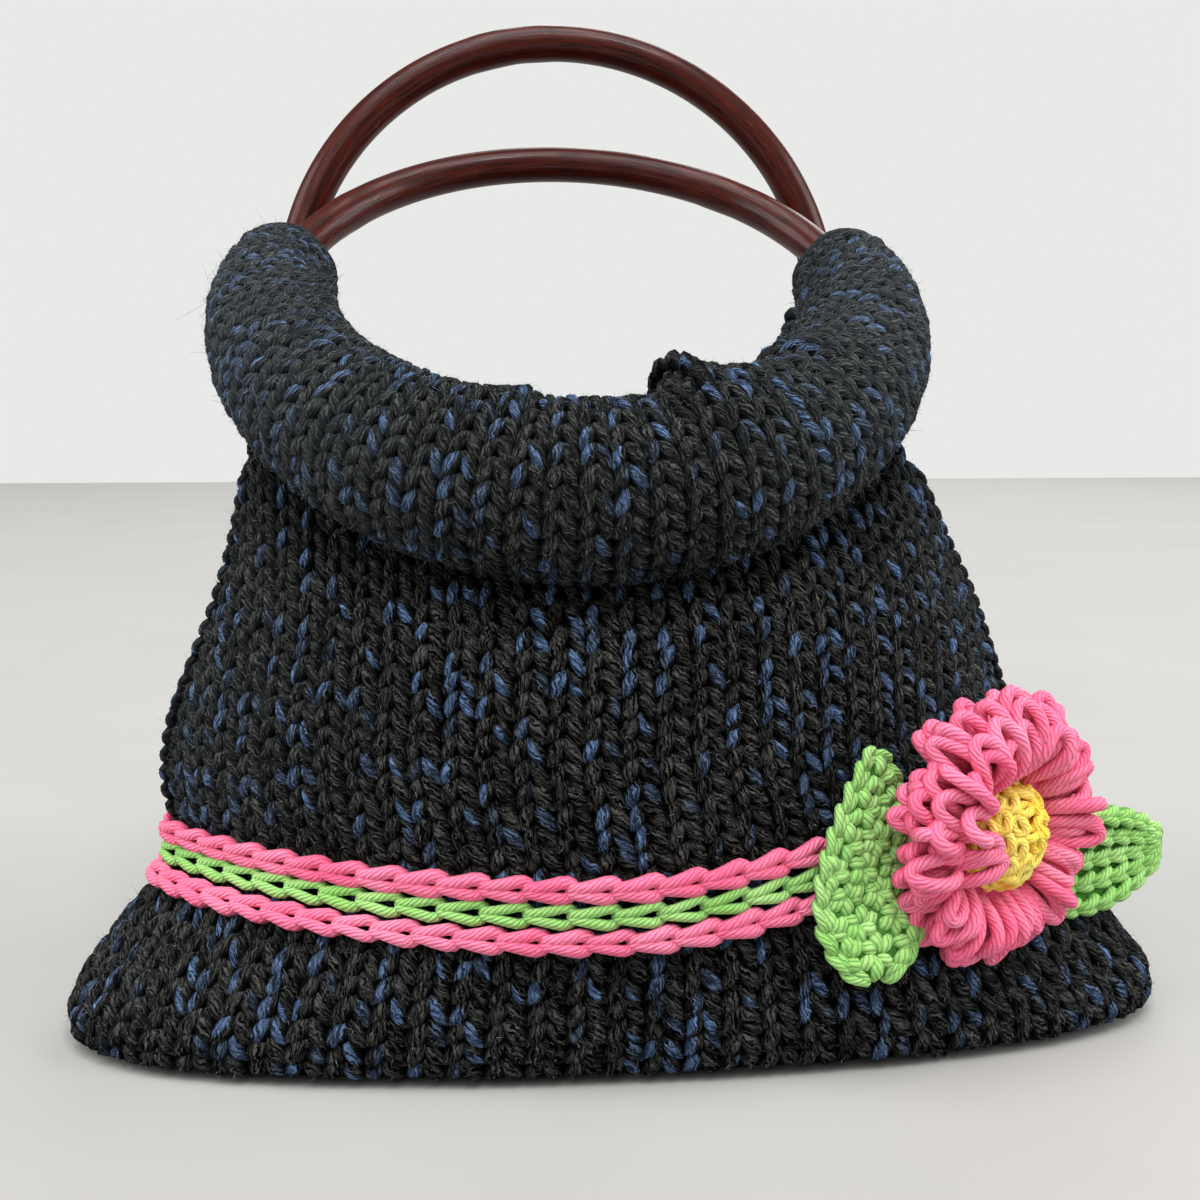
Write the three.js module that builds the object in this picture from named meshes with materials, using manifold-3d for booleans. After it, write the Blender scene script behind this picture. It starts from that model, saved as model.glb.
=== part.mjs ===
// A stuffed hand-knitted handbag: a pouch with pillow corners, two cane ring handles held in rolled
// knitted casings, three chain-stitch lines round the body and a yarn flower with two leaves.
// Millimetres, +Z up. The front faces -Y and the flower is on the right.
import * as THREE from "three";
import { mergeVertices } from "three/addons/utils/BufferGeometryUtils.js";
import Module from "manifold-3d";

const wasm = await Module();
wasm.setup();

// The gap that touching pieces keep, and the thickness of the chunky knit.
const gap = 0.35;
const knitWall = 6.5;

// Ring handles: cane bent to a circle. Lean is how far the top lies back from upright, in degrees.
const ringRadius = 83.2;
const caneRadius = 5.45;
const ringX = -6;
const frontRing = { y: 24.5, z: 191, lean: 53 };
const backRing = { y: 74, z: 196, lean: 10 };

// Casings: swing is the angle from the ring's lowest point, radius the roll's, and inset how far
// the roll's centre lies inside the cane's.
const frontRoll = [
  { swing: 0, radius: 23, inset: 5 },
  { swing: 45, radius: 21.2, inset: 4 },
  { swing: 90, radius: 17.3, inset: 0.5 },
  { swing: 106, radius: 14.2, inset: 0 },
];
const backRoll = [
  { swing: 0, radius: 21, inset: 5 },
  { swing: 45, radius: 19, inset: 4 },
  { swing: 72, radius: 14.5, inset: 1 },
  { swing: 88, radius: 10.5, inset: 0 },
];

// Gathers in the front casing: at the swing angle the knit steps up by height, facing the ring's
// centre, and sinks back over the given reach. A negative reach sinks to the other side.
const gathers = [
  { swing: 21, height: 8.5, reach: 24 },
  { swing: -14, height: 2.5, reach: -16 },
  { swing: 52, height: 2.5, reach: 20 },
];

// Body: the pouch's outline at each height. Front and back are how far it reaches from the side
// seams, and lens shapes the plan: 0.5 is an ellipse, 1 a pointed lens and less than 0.5 a box.
const bodySections = [
  { height: 0, left: -136, right: 146, front: 57, back: 57, lens: 0.24 },
  { height: 4, left: -142, right: 152.5, front: 60, back: 60, lens: 0.26 },
  { height: 12, left: -142, right: 153, front: 62, back: 62, lens: 0.3 },
  { height: 21, left: -135.5, right: 146.5, front: 62, back: 62, lens: 0.4 },
  { height: 30, left: -128.5, right: 140, front: 62, back: 62, lens: 0.53 },
  { height: 38, left: -120.5, right: 132, front: 61.5, back: 62, lens: 0.7 },
  { height: 47, left: -116.5, right: 127, front: 61, back: 62, lens: 0.84 },
  { height: 64, left: -119.5, right: 124, front: 60.5, back: 62, lens: 0.9 },
  { height: 80, left: -117.5, right: 117, front: 59.5, back: 62, lens: 0.9 },
  { height: 97, left: -111, right: 111, front: 57.5, back: 61.5, lens: 0.85 },
  { height: 113, left: -104.5, right: 105, front: 53.5, back: 60.5, lens: 0.8 },
  { height: 129, left: -99.5, right: 97, front: 47, back: 60, lens: 0.75 },
  { height: 145, left: -96, right: 89.5, front: 41, back: 60, lens: 0.7 },
  { height: 155, left: -94.5, right: 83, front: 38, back: 60, lens: 0.7 },
];
const rimHeight = { front: 144, side: 153, back: 119 };
const bodySteps = [0, 0.027, 0.08, 0.14, 0.19, 0.24, 0.29, 0.34, 0.42, 0.52, 0.63, 0.74, 0.87, 1];

// Chain lines: their section, how far they lie off the knit, how much they climb towards the right
// and the height of each at the front.
const chainWidth = 5;
const chainDepth = 4;
const chainOff = 0.7;
const chainClimb = { from: -5, to: 105, rise: 12 };
const chainHeights = { stripe_pink_upper: 51, stripe_green: 44.6, stripe_pink_lower: 38.2 };

// Flower: where it is sewn on, the way it faces to the right of the front, and its sizes.
const flower = { x: 88, z: 58, turn: 31, standOff: 9.5, backing: 23, backingDepth: 5 };
const petalRows = [
  { count: 11, inner: 13, outer: 38.5, lift: 4.5, rise: 14, width: 17, depth: 9 },
  { count: 8, inner: 14.5, outer: 32, lift: 7, rise: 34, width: 15, depth: 9 },
];
const flowerButton = { radius: 14.5, height: 9.5, seat: 6.5 };

// Leaves: length and width of each, with the thickness of the crochet.
const leafThickness = 4.2;
const leftLeaf = { x: 60, bottom: 26, length: 53, left: 14, right: 13.5, bulge: 0.36 };
const rightLeaf = { start: 16, length: 53, width: 27, turn: 22, z: 43, cup: 3.5 };

const materials = {
  knit: new THREE.MeshStandardMaterial({ color: 0x2b2d33, roughness: 0.95, metalness: 0 }),
  cane: new THREE.MeshStandardMaterial({ color: 0x56211d, roughness: 0.35, metalness: 0 }),
  pink: new THREE.MeshStandardMaterial({ color: 0xf2678c, roughness: 0.85, metalness: 0 }),
  green: new THREE.MeshStandardMaterial({ color: 0x86c55f, roughness: 0.85, metalness: 0 }),
  yellow: new THREE.MeshStandardMaterial({ color: 0xffcb2e, roughness: 0.85, metalness: 0 }),
};

const radians = THREE.MathUtils.degToRad;

// A column of a table read smoothly at any place along its first column.
function readTable(rows, key, column, at) {
  const last = rows.length - 1;
  let i = 0;
  while (i < last - 1 && rows[i + 1][key] < at) i += 1;
  const slope = (a, b) => (rows[b][column] - rows[a][column]) / (rows[b][key] - rows[a][key]);
  const span = rows[i + 1][key] - rows[i][key];
  const t = THREE.MathUtils.clamp((at - rows[i][key]) / span, 0, 1);
  const here = slope(Math.max(i - 1, 0), i + 1) * span;
  const next = slope(i, Math.min(i + 2, last)) * span;
  const a = rows[i][column];
  const b = rows[i + 1][column];
  return a + t * (here + t * (3 * (b - a) - 2 * here - next + t * (2 * (a - b) + here + next)));
}

// Rings of points joined into one closed skin, with flat ends or, as a loop, with none.
function skin(rings, loop = false) {
  const around = rings[0].length;
  const points = rings.flat();
  const faces = [];
  const bands = loop ? rings.length : rings.length - 1;
  for (let j = 0; j < bands; j += 1) {
    const low = j * around;
    const high = ((j + 1) % rings.length) * around;
    for (let i = 0; i < around; i += 1) {
      const k = (i + 1) % around;
      faces.push(low + i, low + k, high + k, low + i, high + k, high + i);
    }
  }
  if (!loop) {
    for (const [ring, start] of [[rings[0], 0], [rings.at(-1), (rings.length - 1) * around]]) {
      const middle = ring.reduce((sum, p) => sum.add(p), new THREE.Vector3());
      points.push(middle.divideScalar(around));
      for (let i = 0; i < around; i += 1) {
        const k = (i + 1) % around;
        if (start) faces.push(start + i, start + k, points.length - 1);
        else faces.push(start + k, start + i, points.length - 1);
      }
    }
  }
  const volume = faces.reduce((sum, _, f) => {
    if (f % 3) return sum;
    const [a, b, c] = [points[faces[f]], points[faces[f + 1]], points[faces[f + 2]]];
    return sum + a.dot(new THREE.Vector3().crossVectors(b, c));
  }, 0);
  if (volume < 0) faces.reverse();
  const geometry = new THREE.BufferGeometry().setFromPoints(points);
  geometry.setIndex(faces);
  return geometry;
}

function toSolid(geometry) {
  const bare = new THREE.BufferGeometry();
  bare.setAttribute("position", geometry.getAttribute("position").clone());
  bare.setIndex(geometry.index);
  const merged = mergeVertices(bare, 1e-4);
  const triVerts = new Uint32Array(merged.index.array);
  const vertProperties = new Float32Array(merged.getAttribute("position").array);
  return new wasm.Manifold(new wasm.Mesh({ numProp: 3, vertProperties, triVerts }));
}

function toGeometry(solid) {
  const { vertProperties, triVerts } = solid.getMesh();
  const geometry = new THREE.BufferGeometry();
  geometry.setAttribute("position", new THREE.BufferAttribute(vertProperties, 3));
  geometry.setIndex(new THREE.BufferAttribute(triVerts, 1));
  geometry.computeVertexNormals();
  return geometry;
}

function cut(geometry, ...cutters) {
  return toGeometry(cutters.reduce((left, c) => left.subtract(toSolid(c)), toSolid(geometry)));
}

function join(...pieces) {
  return toGeometry(pieces.map(toSolid).reduce((sum, piece) => sum.add(piece)));
}

// A point of the body at a height. Around runs from the left seam by the front to the right seam
// at a half, and by the back to the left seam again at one.
function bodyPoint(around, height, shrink = 0) {
  const front = around < 0.5;
  const side = front ? 4 * around - 1 : 3 - 4 * around;
  const row = (column) => readTable(bodySections, "height", column, height);
  const left = row("left") + 1.45 * shrink;
  const right = row("right") - 1.45 * shrink;
  const reach = row(front ? "front" : "back") - shrink;
  const turn = (Math.PI / 2) * side;
  const depth = reach * Math.max(Math.cos(turn), 0) ** (2 * row("lens"));
  const x = (left + right) / 2 + ((right - left) / 2) * Math.sin(turn);
  return new THREE.Vector3(x, front ? -depth : depth, height);
}

function bodyNormal(around, height) {
  const step = 0.004;
  const wrap = (a) => (a + 1) % 1;
  const along = bodyPoint(wrap(around + step), height).sub(bodyPoint(wrap(around - step), height));
  const up = bodyPoint(around, height + 1).sub(bodyPoint(around, Math.max(height - 1, 0)));
  return along.cross(up).normalize();
}

// The place along the front of the body that lies at x.
function aroundAt(x, height) {
  const left = readTable(bodySections, "height", "left", height);
  const right = readTable(bodySections, "height", "right", height);
  const side = THREE.MathUtils.clamp((2 * x - left - right) / (right - left), -1, 1);
  return (Math.asin(side) / (Math.PI / 2) + 1) / 4;
}

function rimAt(around) {
  const low = around < 0.5 ? rimHeight.front : rimHeight.back;
  return rimHeight.side + (low - rimHeight.side) * Math.sin(2 * Math.PI * around) ** 2;
}

function bodyRing(share, shrink, floor) {
  const steps = 44;
  return Array.from({ length: steps }, (_, i) => {
    const height = floor + (rimAt(i / steps) - floor) * share;
    return bodyPoint(i / steps, height, shrink);
  });
}

function pouchGeometry() {
  const outside = bodySteps.map((share) => bodyRing(share, 0, 0));
  const inside = [...bodySteps.filter((share, i) => i % 2 === 0), 1].reverse();
  return skin([...outside, ...inside.map((share) => bodyRing(share, knitWall, knitWall))]);
}

// The body filled and a gap larger, which trims what is sewn on to it.
function bodyRoomGeometry() {
  return skin(bodySteps.map((share) => bodyRing(share, -gap, 0)));
}

function gatherAt(swing) {
  return gathers.reduce((sum, g) => {
    const past = (swing - g.swing) / g.reach;
    return sum + (past >= 0 && past <= 1 ? g.height * (1 - past) ** 1.5 : 0);
  }, 0);
}

// A knitted roll round the ring's lower part, in the ring's own plane, with rounded ends.
function rollGeometry(table, folds, grow = 0) {
  const around = 12;
  const end = table.at(-1).swing;
  const ends = [[0, 0.62], [0.6, 0.84], [2.2, 0.96]];
  const swings = [];
  for (let i = 1; i < 22; i += 1) swings.push({ swing: end * (i / 11 - 1), scale: 1 });
  for (const g of folds) swings.push({ swing: g.swing - Math.sign(g.reach) * 1.2, scale: 1 });
  for (const [short, scale] of ends) {
    swings.push({ swing: end - short, scale }, { swing: short - end, scale });
  }
  swings.sort((a, b) => a.swing - b.swing);
  const rings = swings.map(({ swing, scale }) => {
    const away = new THREE.Vector3(Math.sin(radians(swing)), -Math.cos(radians(swing)), 0);
    const read = (column) => readTable(table, "swing", column, Math.abs(swing));
    const centre = away.clone().multiplyScalar(ringRadius - read("inset"));
    const lift = folds.length ? gatherAt(swing) : 0;
    return Array.from({ length: around }, (_, i) => {
      const turn = (2 * Math.PI * i) / around;
      const inward = Math.max(Math.cos(turn - radians(155)), 0) ** 1.5;
      const radius = read("radius") * scale + lift * inward + grow;
      const point = centre.clone().addScaledVector(away, radius * Math.cos(turn));
      point.z += radius * Math.sin(turn);
      return point;
    });
  });
  return skin(rings);
}

// A ring handle and its casing, built flat and leaned back together.
function handle(place, table, folds, ringName, casingName) {
  const group = new THREE.Group();
  group.position.set(ringX, place.y, place.z);
  group.rotation.x = Math.PI / 2 - radians(place.lean);
  group.updateMatrix();
  const ring = new THREE.TorusGeometry(ringRadius, caneRadius, 10, 40);
  const bore = new THREE.TorusGeometry(ringRadius, caneRadius + gap, 10, 40);
  const casing = cut(rollGeometry(table, folds), bore);
  const room = rollGeometry(table, folds, gap).applyMatrix4(group.matrix);
  const ringMesh = new THREE.Mesh(ring, materials.cane);
  ringMesh.name = ringName;
  const casingMesh = new THREE.Mesh(casing, materials.knit);
  casingMesh.name = casingName;
  group.add(ringMesh, casingMesh);
  return { group, room };
}

// A chain line: a flattened cord lying on the body all the way round.
function chainGeometry(frontHeight, grow = 0) {
  const steps = 52;
  const sides = 6;
  const rings = Array.from({ length: steps }, (_, i) => {
    const around = i / steps;
    const x = bodyPoint(around, frontHeight).x;
    const along = (x - chainClimb.from) / (chainClimb.to - chainClimb.from);
    const climb = chainClimb.rise * THREE.MathUtils.smoothstep(along, 0, 1);
    const height = frontHeight + climb;
    const out = bodyNormal(around, height);
    const centre = bodyPoint(around, height).addScaledVector(out, chainOff + chainDepth / 2);
    const step = bodyPoint((around + 0.004) % 1, height).sub(bodyPoint((around + 0.996) % 1, height));
    const across = new THREE.Vector3().crossVectors(out, step).normalize();
    return Array.from({ length: sides }, (_, k) => {
      const turn = (2 * Math.PI * k) / sides;
      return centre
        .clone()
        .addScaledVector(out, (chainDepth / 2 + grow) * Math.cos(turn))
        .addScaledVector(across, (chainWidth / 2 + grow) * Math.sin(turn));
    });
  });
  return skin(rings, true);
}

// The left leaf lies over the chain lines and follows the body. Its point is at the top.
function leftLeafGeometry(grow = 0) {
  const shares = [0, 0.06, 0.16, 0.28, 0.42, 0.58, 0.74, 0.88, 0.97, 1];
  const rings = shares.map((share) => {
    const t = share ** (Math.log(0.5) / Math.log(leftLeaf.bulge));
    const wide = Math.max(Math.sin(Math.PI * t), 0.1) ** 0.75;
    const height = leftLeaf.bottom - grow + (leftLeaf.length + 2 * grow) * share;
    return Array.from({ length: 10 }, (_, i) => {
      const turn = (2 * Math.PI * i) / 10;
      const reach = Math.cos(turn) < 0 ? leftLeaf.left : leftLeaf.right;
      const x = leftLeaf.x + (reach * wide + grow) * Math.cos(turn);
      const around = aroundAt(x, height);
      const out = chainOff + chainDepth + gap + leafThickness / 2;
      const thick = (leafThickness / 2) * Math.min(1, 0.45 + wide) + grow;
      const raise = out + thick * Math.sign(Math.sin(turn)) * Math.abs(Math.sin(turn)) ** 0.6;
      return bodyPoint(around, height).addScaledVector(bodyNormal(around, height), raise);
    });
  });
  return skin(rings);
}

// The right leaf, lying along +X from its root, with its sides cupped forward.
function rightLeafGeometry(grow = 0) {
  const shares = [0, 0.05, 0.16, 0.3, 0.46, 0.62, 0.78, 0.9, 0.97, 1];
  const rings = shares.map((share) => {
    const wide = Math.max(Math.sin(Math.PI * (0.12 + 0.88 * share)), 0.12) ** 0.62;
    const x = rightLeaf.start - grow + (rightLeaf.length + 2 * grow) * share;
    return Array.from({ length: 10 }, (_, i) => {
      const turn = (2 * Math.PI * i) / 10;
      const y = ((rightLeaf.width / 2) * wide + grow) * Math.cos(turn);
      const thick = leafThickness / 2 + grow;
      const cupped = rightLeaf.cup * ((2 * y) / rightLeaf.width) ** 2;
      const z = thick * Math.sign(Math.sin(turn)) * Math.abs(Math.sin(turn)) ** 0.6;
      return new THREE.Vector3(x, y, z + cupped);
    });
  });
  return skin(rings);
}

// Loops of yarn as plump lobes round a round backing, facing +Z.
function petalGeometry() {
  const backing = new THREE.CylinderGeometry(flower.backing, flower.backing - 2, flower.backingDepth, 28);
  backing.rotateX(Math.PI / 2).translate(0, 0, flower.backingDepth / 2);
  const lobes = petalRows.flatMap((row, r) =>
    Array.from({ length: row.count }, (_, i) => {
      const bearing = (360 * (i + r / 2)) / row.count;
      const longer = 1 + 0.05 * Math.sin(i * 2.4 + r);
      const length = (row.outer * longer - row.inner) / Math.cos(radians(row.rise) * 0.5);
      const lobe = new THREE.CapsuleGeometry(row.width / 2, length - row.width, 2, 7);
      lobe.rotateZ(Math.PI / 2).translate(length / 2, 0, 0).scale(1, 1, row.depth / row.width);
      lobe.rotateY(-radians(row.rise)).translate(row.inner, 0, row.lift);
      return lobe.rotateZ(radians(bearing));
    }),
  );
  return join(backing, ...lobes);
}

// The button: a dome on a short foot that stands on the backing among the loops.
function buttonGeometry(grow = 0) {
  const { radius, height, seat } = flowerButton;
  const low = flower.backingDepth + gap - grow;
  const dome = Array.from({ length: 6 }, (_, i) => {
    const turn = (Math.PI / 2) * (i / 5);
    const wide = i === 5 ? 0 : (radius + grow) * Math.cos(turn);
    return new THREE.Vector2(wide, seat + (height + grow) * Math.sin(turn));
  });
  const foot = [new THREE.Vector2(0, low), new THREE.Vector2(radius * 0.72 + grow, low)];
  return new THREE.LatheGeometry([...foot, ...dome], 20).rotateX(Math.PI / 2);
}

function named(name, geometry, material) {
  const mesh = new THREE.Mesh(geometry, material);
  mesh.name = name;
  return mesh;
}

const bag = new THREE.Group();

const front = handle(frontRing, frontRoll, gathers, "handle_ring_front", "casing_front");
const back = handle(backRing, backRoll, [], "handle_ring_back", "casing_back");
bag.add(front.group, back.group);
bag.add(named("bag_body", cut(pouchGeometry(), front.room, back.room), materials.knit));

const chainRoom = Object.values(chainHeights).map((height) => chainGeometry(height, gap));
for (const [name, height] of Object.entries(chainHeights)) {
  const colour = name.includes("green") ? materials.green : materials.pink;
  bag.add(named(name, chainGeometry(height), colour));
}

// The flower's own frame: x across to the right, y up and z out of the body.
const sewnAt = bodyPoint(aroundAt(flower.x, flower.z), flower.z);
const spray = new THREE.Group();
const outward = new THREE.Vector3(Math.sin(radians(flower.turn)), -Math.cos(radians(flower.turn)), 0);
spray.position.copy(sewnAt).addScaledVector(outward, flower.standOff);
spray.rotation.set(Math.PI / 2, radians(flower.turn), 0);
spray.updateMatrix();
const toSpray = spray.matrix.clone().invert();

const leafPlace = new THREE.Group();
const leafOut = chainOff + chainDepth + gap + leafThickness / 2;
leafPlace.position.copy(sewnAt).addScaledVector(outward, leafOut).setZ(rightLeaf.z);
leafPlace.rotation.set(Math.PI / 2, radians(rightLeaf.turn), 0);
leafPlace.updateMatrix();
leafPlace.add(named("leaf_right", rightLeafGeometry(), materials.green));
bag.add(leafPlace);
bag.add(named("leaf_left", cut(leftLeafGeometry(), ...chainRoom), materials.green));

const leafRoom = [
  leftLeafGeometry(gap).applyMatrix4(toSpray),
  rightLeafGeometry(gap).applyMatrix4(leafPlace.matrix).applyMatrix4(toSpray),
];
const sewnRoom = [bodyRoomGeometry(), ...chainRoom].map((room) => room.applyMatrix4(toSpray));
const petals = cut(petalGeometry(), buttonGeometry(gap), ...leafRoom, ...sewnRoom);
spray.add(named("flower_petals", petals, materials.pink));
spray.add(named("flower_centre", buttonGeometry(), materials.yellow));
bag.add(spray);

// The origin is the middle of the bottom of the whole bag.
const box = new THREE.Box3().setFromObject(bag, true);
bag.position.set(-(box.min.x + box.max.x) / 2, -(box.min.y + box.max.y) / 2, -box.min.z);
const part = new THREE.Group();
part.add(bag);

export default part;
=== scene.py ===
import math

import bpy
import numpy as np
from mathutils import Euler, Matrix, Vector


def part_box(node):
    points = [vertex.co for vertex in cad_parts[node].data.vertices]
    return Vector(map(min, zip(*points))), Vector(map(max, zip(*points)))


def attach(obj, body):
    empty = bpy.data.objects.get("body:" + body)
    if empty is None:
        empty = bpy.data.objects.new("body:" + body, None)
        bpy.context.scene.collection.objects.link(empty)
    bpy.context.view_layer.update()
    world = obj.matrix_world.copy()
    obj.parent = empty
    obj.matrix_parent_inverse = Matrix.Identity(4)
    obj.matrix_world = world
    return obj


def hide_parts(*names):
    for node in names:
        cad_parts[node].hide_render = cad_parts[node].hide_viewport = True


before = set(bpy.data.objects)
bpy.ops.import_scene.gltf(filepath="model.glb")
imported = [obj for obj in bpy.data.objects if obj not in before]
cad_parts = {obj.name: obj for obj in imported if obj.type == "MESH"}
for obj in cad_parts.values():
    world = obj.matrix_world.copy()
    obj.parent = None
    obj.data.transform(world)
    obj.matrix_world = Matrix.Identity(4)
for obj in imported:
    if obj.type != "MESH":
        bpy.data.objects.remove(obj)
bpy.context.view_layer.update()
mm = 0.001
backRingLow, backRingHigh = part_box("handle_ring_back")
ringMiddle = (np.array(backRingLow) + np.array(backRingHigh)) / 2 / mm
bagShift = ringMiddle - [-6.0, 74.0, 196.0]  # from the plane of the seams to the frame
rng = np.random.default_rng(721)
print("bag frame loaded")


# camera at the height of the casings, a little to the left, looking slightly down
cameraLook = {"place": (-41.5, -403.9, 167.0), "turn": 5.0, "down": 8.0, "lens": 43.5}
bpy.ops.object.select_all(action="DESELECT")
bpy.ops.object.camera_add(
    location=[v * mm for v in cameraLook["place"]],
    rotation=(math.radians(90 - cameraLook["down"]), 0, math.radians(-cameraLook["turn"])),
)
camera = bpy.context.object
camera.name = "bagCamera"
camera.data.lens = cameraLook["lens"]
camera.data.sensor_width = 36
camera.data.clip_start = 0.01
bpy.context.scene.camera = camera
print("camera placed")


def linearColour(hexCode):
    parts = [int(hexCode[i:i + 2], 16) / 255 for i in (1, 3, 5)]
    return [p / 12.92 if p <= 0.04045 else ((p + 0.055) / 1.055) ** 2.4 for p in parts] + [1.0]


# feeds: inputs by number or by name, each a value, a socket, or a node that gives its first output
def addNode(tree, kind, feeds=(), **settings):
    node = tree.nodes.new("ShaderNode" + kind)
    for name, value in settings.items():
        setattr(node, name, value)
    for name, value in feeds.items() if isinstance(feeds, dict) else enumerate(feeds):
        if isinstance(value, bpy.types.Node):
            value = next(socket for socket in value.outputs if socket.enabled)
        if isinstance(value, bpy.types.NodeSocket):
            tree.links.new(value, node.inputs[name])
        else:
            node.inputs[name].default_value = value
    return node


def newMaterial(name):
    material = bpy.data.materials.new(name)
    material.use_nodes = True
    material.node_tree.nodes.clear()
    return material, material.node_tree


# plied yarn: the grooves between the plies wind round the strand and are darkened as painted shade, the nap
# is matt with a soft edge glow
# plies: grooves round a strand, lay: mm of strand for one turn of a ply, wander: how far the plies stray
# nap: least and spread of the fibres' tone, flank: where painted shade darkens a strand towards its flanks,
# and to what
# furrow: how much light the painted groove shade keeps, grooveShade: the colour of that painted shade, bloom:
# a pale veil painted on as light falling on loose fibres
charcoalWool = {
    "grooveShade": "#010101", "ply": "#313332", "pale": "#525350", "plies": 10, "lay": 19.7, "relief": 0.5,
    "crest": (0.1, 0.9), "wander": 0.2, "nap": (-2.85, 6.4), "flank": (0.06, 0.205, 0.01), "furrow": 0.5,
    "sheen": 0.0, "specular": 0.02, "bloom": "#727b81",
    "marl": {  # blue flecks: share of the strands, half length in mm, half width and place in turns
        "dark": "#1b3050", "light": "#7797c6", "share": 0.32, "length": 2.9, "width": 0.11, "lift": 0.26,
        "from": 3.0, "spread": 3.4, "side": 0.37, "sideSpread": 0.26, "lean": -0.05, "fray": -2.4,
        "edge": (-0.5, 0.2), "faint": (0.75, 0.25), "shuffle": (37.7, 91.3)},
}
pinkCotton = {
    "grooveShade": "#d63c64", "ply": "#ff6a94", "pale": "#ff90b1", "plies": 8, "lay": 14.0, "relief": 0.3,
    "crest": (0.0, 0.7), "wander": 0.12, "nap": (0.45, 1.15), "flank": (0.12, 0.36, 0.15), "furrow": 0.25,
    "sheen": 0.1, "specular": 0.12,
}
greenCotton = {
    "grooveShade": "#4f9237", "ply": "#8fcb66", "pale": "#b5e28d", "plies": 6, "lay": 9.0, "relief": 0.28,
    "crest": (0.0, 0.7), "wander": 0.12, "nap": (0.45, 1.1), "flank": (0.13, 0.36, 0.2), "furrow": 0.2,
    "sheen": 0.1, "specular": 0.12,
}
yellowCotton = {
    "grooveShade": "#f9a21a", "ply": "#ffdf45", "pale": "#fff084", "plies": 6, "lay": 9.0, "relief": 0.28,
    "crest": (0.0, 0.6), "wander": 0.12, "nap": (0.55, 1.1), "flank": (0.18, 0.42, 0.45), "furrow": 0.4,
    "sheen": 0.1, "specular": 0.12,
}
yarnFibre = {  # sizes in mm. drift: how often the plies wander, dye: how far apart it takes unevenly
    "drift": 2.0, "round": 13.0, "width": 0.42, "length": 2.4, "shuffle": 60.0, "dye": 14.0, "seedTone": 0.35,
    "paleFrom": 0.35, "paleTo": 0.95, "relief": 0.8, "bump": 0.9, "rough": 0.9, "sheenRough": 0.55,
}


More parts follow.
